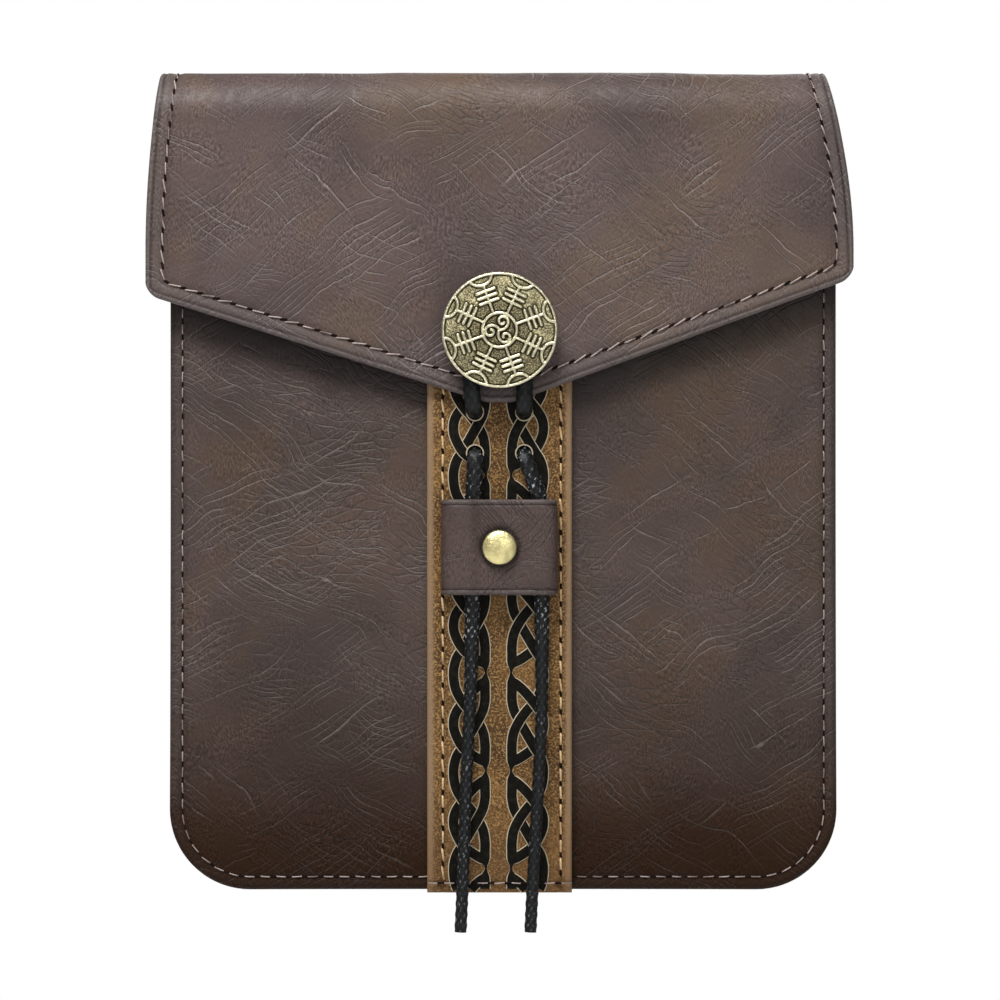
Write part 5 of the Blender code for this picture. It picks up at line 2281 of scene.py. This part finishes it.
@dataclass
class BeltLoop:
    """One of the two loops on the back."""

    side: Side
    finish: Material
    thread: Material
    hole: Material
    width: float = 0.024
    thickness: float = 0.002
    spacing: float = 0.078
    bend: float = 0.005
    tab: float = 0.010
    edge_round: float = 0.0008
    line_inset: float = 0.0022
    line_width: float = 0.0004
    thread_sink: float = 0.0002
    grid_step: float = 0.0010
    seed: int = 61

    def build(self) -> None:
        """Makes and dresses the loop with its sewn tabs."""
        tab_y = FORM.back_y + FORM.gap + self.thickness
        out_y = FORM.back_y + FORM.belt_thickness + self.thickness
        half = FORM.belt_height / 2
        length = half + self.bend + self.tab
        heights = edge_shares(2 * length, self.grid_step) - length
        share = smooth_step((half + self.bend - np.abs(heights)) / self.bend)
        y = tab_y + (out_y - tab_y) * share
        places = edge_shares(self.width, self.grid_step) - self.width / 2
        middle = self.side.value * self.spacing / 2
        x, z = np.meshgrid(middle - places, heights)
        outer = np.stack((x, y[:, None] + np.zeros_like(x), z), axis=2)
        sides = self.width / 2 - np.abs(x - middle)
        distance = np.minimum(sides, length - np.abs(z))
        relief = rounded_off(distance, self.edge_round)
        relief += 0.00018 * hump(distance - self.line_inset, self.line_width)
        relief += 0.00020 * swell(x, z, 0.014, self.seed + self.side.value)
        values = {
            "rim": 1 - smooth_step((distance - 0.0008) / 0.0006),
            # Painted shade along the pressed line.
            "groove_and_painted_shade": 0.50 * hump(distance - self.line_inset, self.line_width),
        }
        name = f"belt_loop_{self.side.name.lower()}"
        mesh = LeatherSheet(name, outer, self.thickness, relief, values).mesh()
        loop = add_piece(name + "_leather", mesh, self.finish)
        sewing = Sewing(name, STRAP_SEWING, self.thread, self.hole, self.seed)
        reach = self.width / 2 - 0.0035
        across = np.linspace(-reach, reach, 24)
        flat = np.ones_like(across)
        for end in (-1, 1):
            for z_place in (length - 0.0028, half + self.bend + 0.0016):
                points = np.stack((middle + across, flat * tab_y, flat * end * z_place), axis=1)
                sewing.add_back_row(points, self.thread_sink)
        dress([loop, *sewing.build()], Slot.BROWN, name)


@dataclass
class Studio:
    """Pale floor, soft lights, a white surround and the camera."""

    camera_distance: float = 1.2
    frame_width: float = 0.2214
    sensor: float = 36.0
    focus: Spot = (-0.0007, -0.033, -0.0351)
    floor_z: float = -0.35
    floor_radius: float = 1.5
    soft_strength: float = 0.20

    def camera(self) -> None:
        """Places the camera straight in front."""
        lens = bpy.data.cameras.new("front_camera")
        lens.sensor_width = self.sensor
        lens.lens = self.sensor * self.camera_distance / self.frame_width
        camera = add_object("front_camera", lens)
        camera.location = (self.focus[0], self.focus[1] - self.camera_distance, self.focus[2])
        camera.rotation_euler = (math.pi / 2, 0, 0)
        bpy.context.scene.camera = camera

    def light(self, name: str, place: Spot, size: float, power: float) -> None:
        """Adds a soft square light that looks at the pouch.

        Args:
            name: its name.
            place: where it is.
            size: length of its side.
            power: its strength in watts.
        """
        lamp = bpy.data.lights.new(name, "AREA")
        lamp.size = size
        lamp.energy = power
        holder = add_object(name, lamp)
        holder.location = place
        aim = Vector(self.focus) - Vector(place)
        holder.rotation_euler = aim.to_track_quat("-Z", "Y").to_euler()

    def floor(self) -> None:
        """Adds a round pale floor well below the pouch."""
        disc = bmesh.new()
        bmesh.ops.create_circle(disc, cap_ends=True, segments=96, radius=self.floor_radius)
        bmesh.ops.translate(disc, verts=disc.verts, vec=(0, 0, self.floor_z))
        mesh = bpy.data.meshes.new("floor")
        disc.to_mesh(mesh)
        disc.free()
        tree = ShaderTree("pale_floor")
        shade = tree.ramp(tree.noise(tree.place(), 0.3, 2.0), 0.3, 0.7)
        mesh.materials.append(tree.finish(tree.blend(shade, (0.80,) * 3, (0.84,) * 3), 0.9))
        add_object("floor", mesh)

    def surround(self) -> None:
        """Makes the surround white to the camera and softer as a light."""
        world = bpy.data.worlds.new("white_surround")
        world.use_nodes = True
        bpy.context.scene.world = world
        sky = NodeBuilder(world.node_tree)
        sky.tree.nodes.clear()
        seen = sky.step("ShaderNodeLightPath", {}, "Is Camera Ray")
        light = {"Color": (1, 1, 1, 1), "Strength": self.soft_strength}
        soft = sky.step("ShaderNodeBackground", light)
        white = sky.step("ShaderNodeBackground", {**light, "Strength": 1.0})
        mixed = sky.step("ShaderNodeMixShader", {0: seen, 1: soft, 2: white})
        sky.node("ShaderNodeOutputWorld", {"Surface": mixed})

    def build(self) -> None:
        """Sets up the studio."""
        self.camera()
        self.floor()
        self.surround()
        self.light("key_light", (-0.24, -0.68, 1.06), 0.50, 19.0)
        self.light("front_light", (0.30, -1.35, 0.25), 0.8, 2.4)
        self.light("back_light", (0.45, 1.30, 0.55), 0.9, 7.0)
        bpy.context.scene.view_settings.view_transform = "Standard"


# The cord's middle line, in tenths of a millimetre.
ROUTE_UNITS = 10000
CLOSURE_ROUTE = (
    (-67, -412, -541), (-67, -415, -480), (-67, -418, -410), (-66, -420, -350),
    (-63, -421, -300), (-62, -420, -270), (-62, -414, -255), (-62, -398, -248),
    (-62, -381, -248), (-62, -364, -248), (-62, -349, -241), (-62, -342, -226),
    (-62, -342, -203), (-62, -342, -180), (-62, -349, -165), (-62, -364, -158),
    (-62, -381, -158), (-62, -400, -158), (-63, -422, -157), (-65, -440, -150),
    (-67, -448, -132), (-70, -448, -100), (-70, -447, -60), (-64, -446, -15),
    (-57, -446, 18), (-49, -445, 47), (-31, -444, 66), (-8, -444, 71),
    (15, -444, 66), (33, -445, 47), (41, -446, 18), (46, -446, -15),
    (47, -447, -60), (47, -448, -100), (47, -448, -132), (46, -440, -150),
    (46, -422, -157), (46, -400, -158), (46, -381, -158), (46, -364, -158),
    (46, -349, -165), (46, -342, -180), (46, -342, -203), (46, -342, -226),
    (46, -349, -241), (46, -364, -248), (46, -381, -248), (46, -398, -248),
    (48, -414, -255), (53, -421, -270), (65, -422, -300), (80, -420, -350),
    (84, -418, -410), (84, -415, -480), (84, -412, -541),
)
LEFT_TAIL_ROUTE = (
    (-67, -412, -544), (-68, -410, -620), (-70, -408, -700), (-73, -405, -800),
    (-78, -402, -900), (-83, -398, -1020), (-87, -394, -1140), (-91, -390, -1240),
    (-94, -388, -1303),
)
RIGHT_TAIL_ROUTE = (
    (84, -412, -544), (85, -410, -620), (85, -408, -700), (85, -405, -790),
    (82, -402, -890), (76, -398, -1000), (70, -394, -1110), (64, -390, -1220),
    (60, -388, -1303),
)


def add_cords(finishes: Finishes) -> None:
    """Adds the held cord and its two free tails.

    Args:
        finishes: the finishes.
    """
    held, _ = Cord("closure_cord", CLOSURE_ROUTE, finishes.cord).build()
    dress([held], Slot.CORD, "closure_cord")
    for name, route in (("left_tail", LEFT_TAIL_ROUTE), ("right_tail", RIGHT_TAIL_ROUTE)):
        cord = Cord(name, route, finishes.cord)
        tail, path = cord.build()
        dress([tail], Slot.CORD, name)
        length = float(np.linalg.norm(np.diff(path, axis=0), axis=1).sum())


def main() -> None:
    """Dresses the pouch and sets up the studio."""
    logging.basicConfig(level=logging.INFO, format="%(message)s")
    finishes = Finishes()
    Studio().build()
    add_cords(finishes)
    flap = Flap(finishes.dark_flap, finishes.flap_thread, finishes.hole)
    flap.build()
    BodyPanel(
        "front_panel", True, finishes.dark, finishes.body_thread, finishes.hole, covered_by=flap
    ).build()
    BodyPanel("back_panel", False, finishes.dark, finishes.body_thread, finishes.hole, seed=17).build()
    Gusset(finishes.dark).build()
    strap = CentreStrap(
        finishes.tan, finishes.plait, finishes.strap_thread, finishes.body_thread, finishes.hole
    )
    strap.build()
    keeper = Keeper(finishes.dark_keeper)
    keeper.build()
    Rivet(finishes.rivet, keeper).build()
    Concho(finishes.brass).build()
    for side in Side:
        BeltLoop(side, finishes.dark, finishes.flap_thread, finishes.hole).build()


if __name__ == "__main__":
    main()
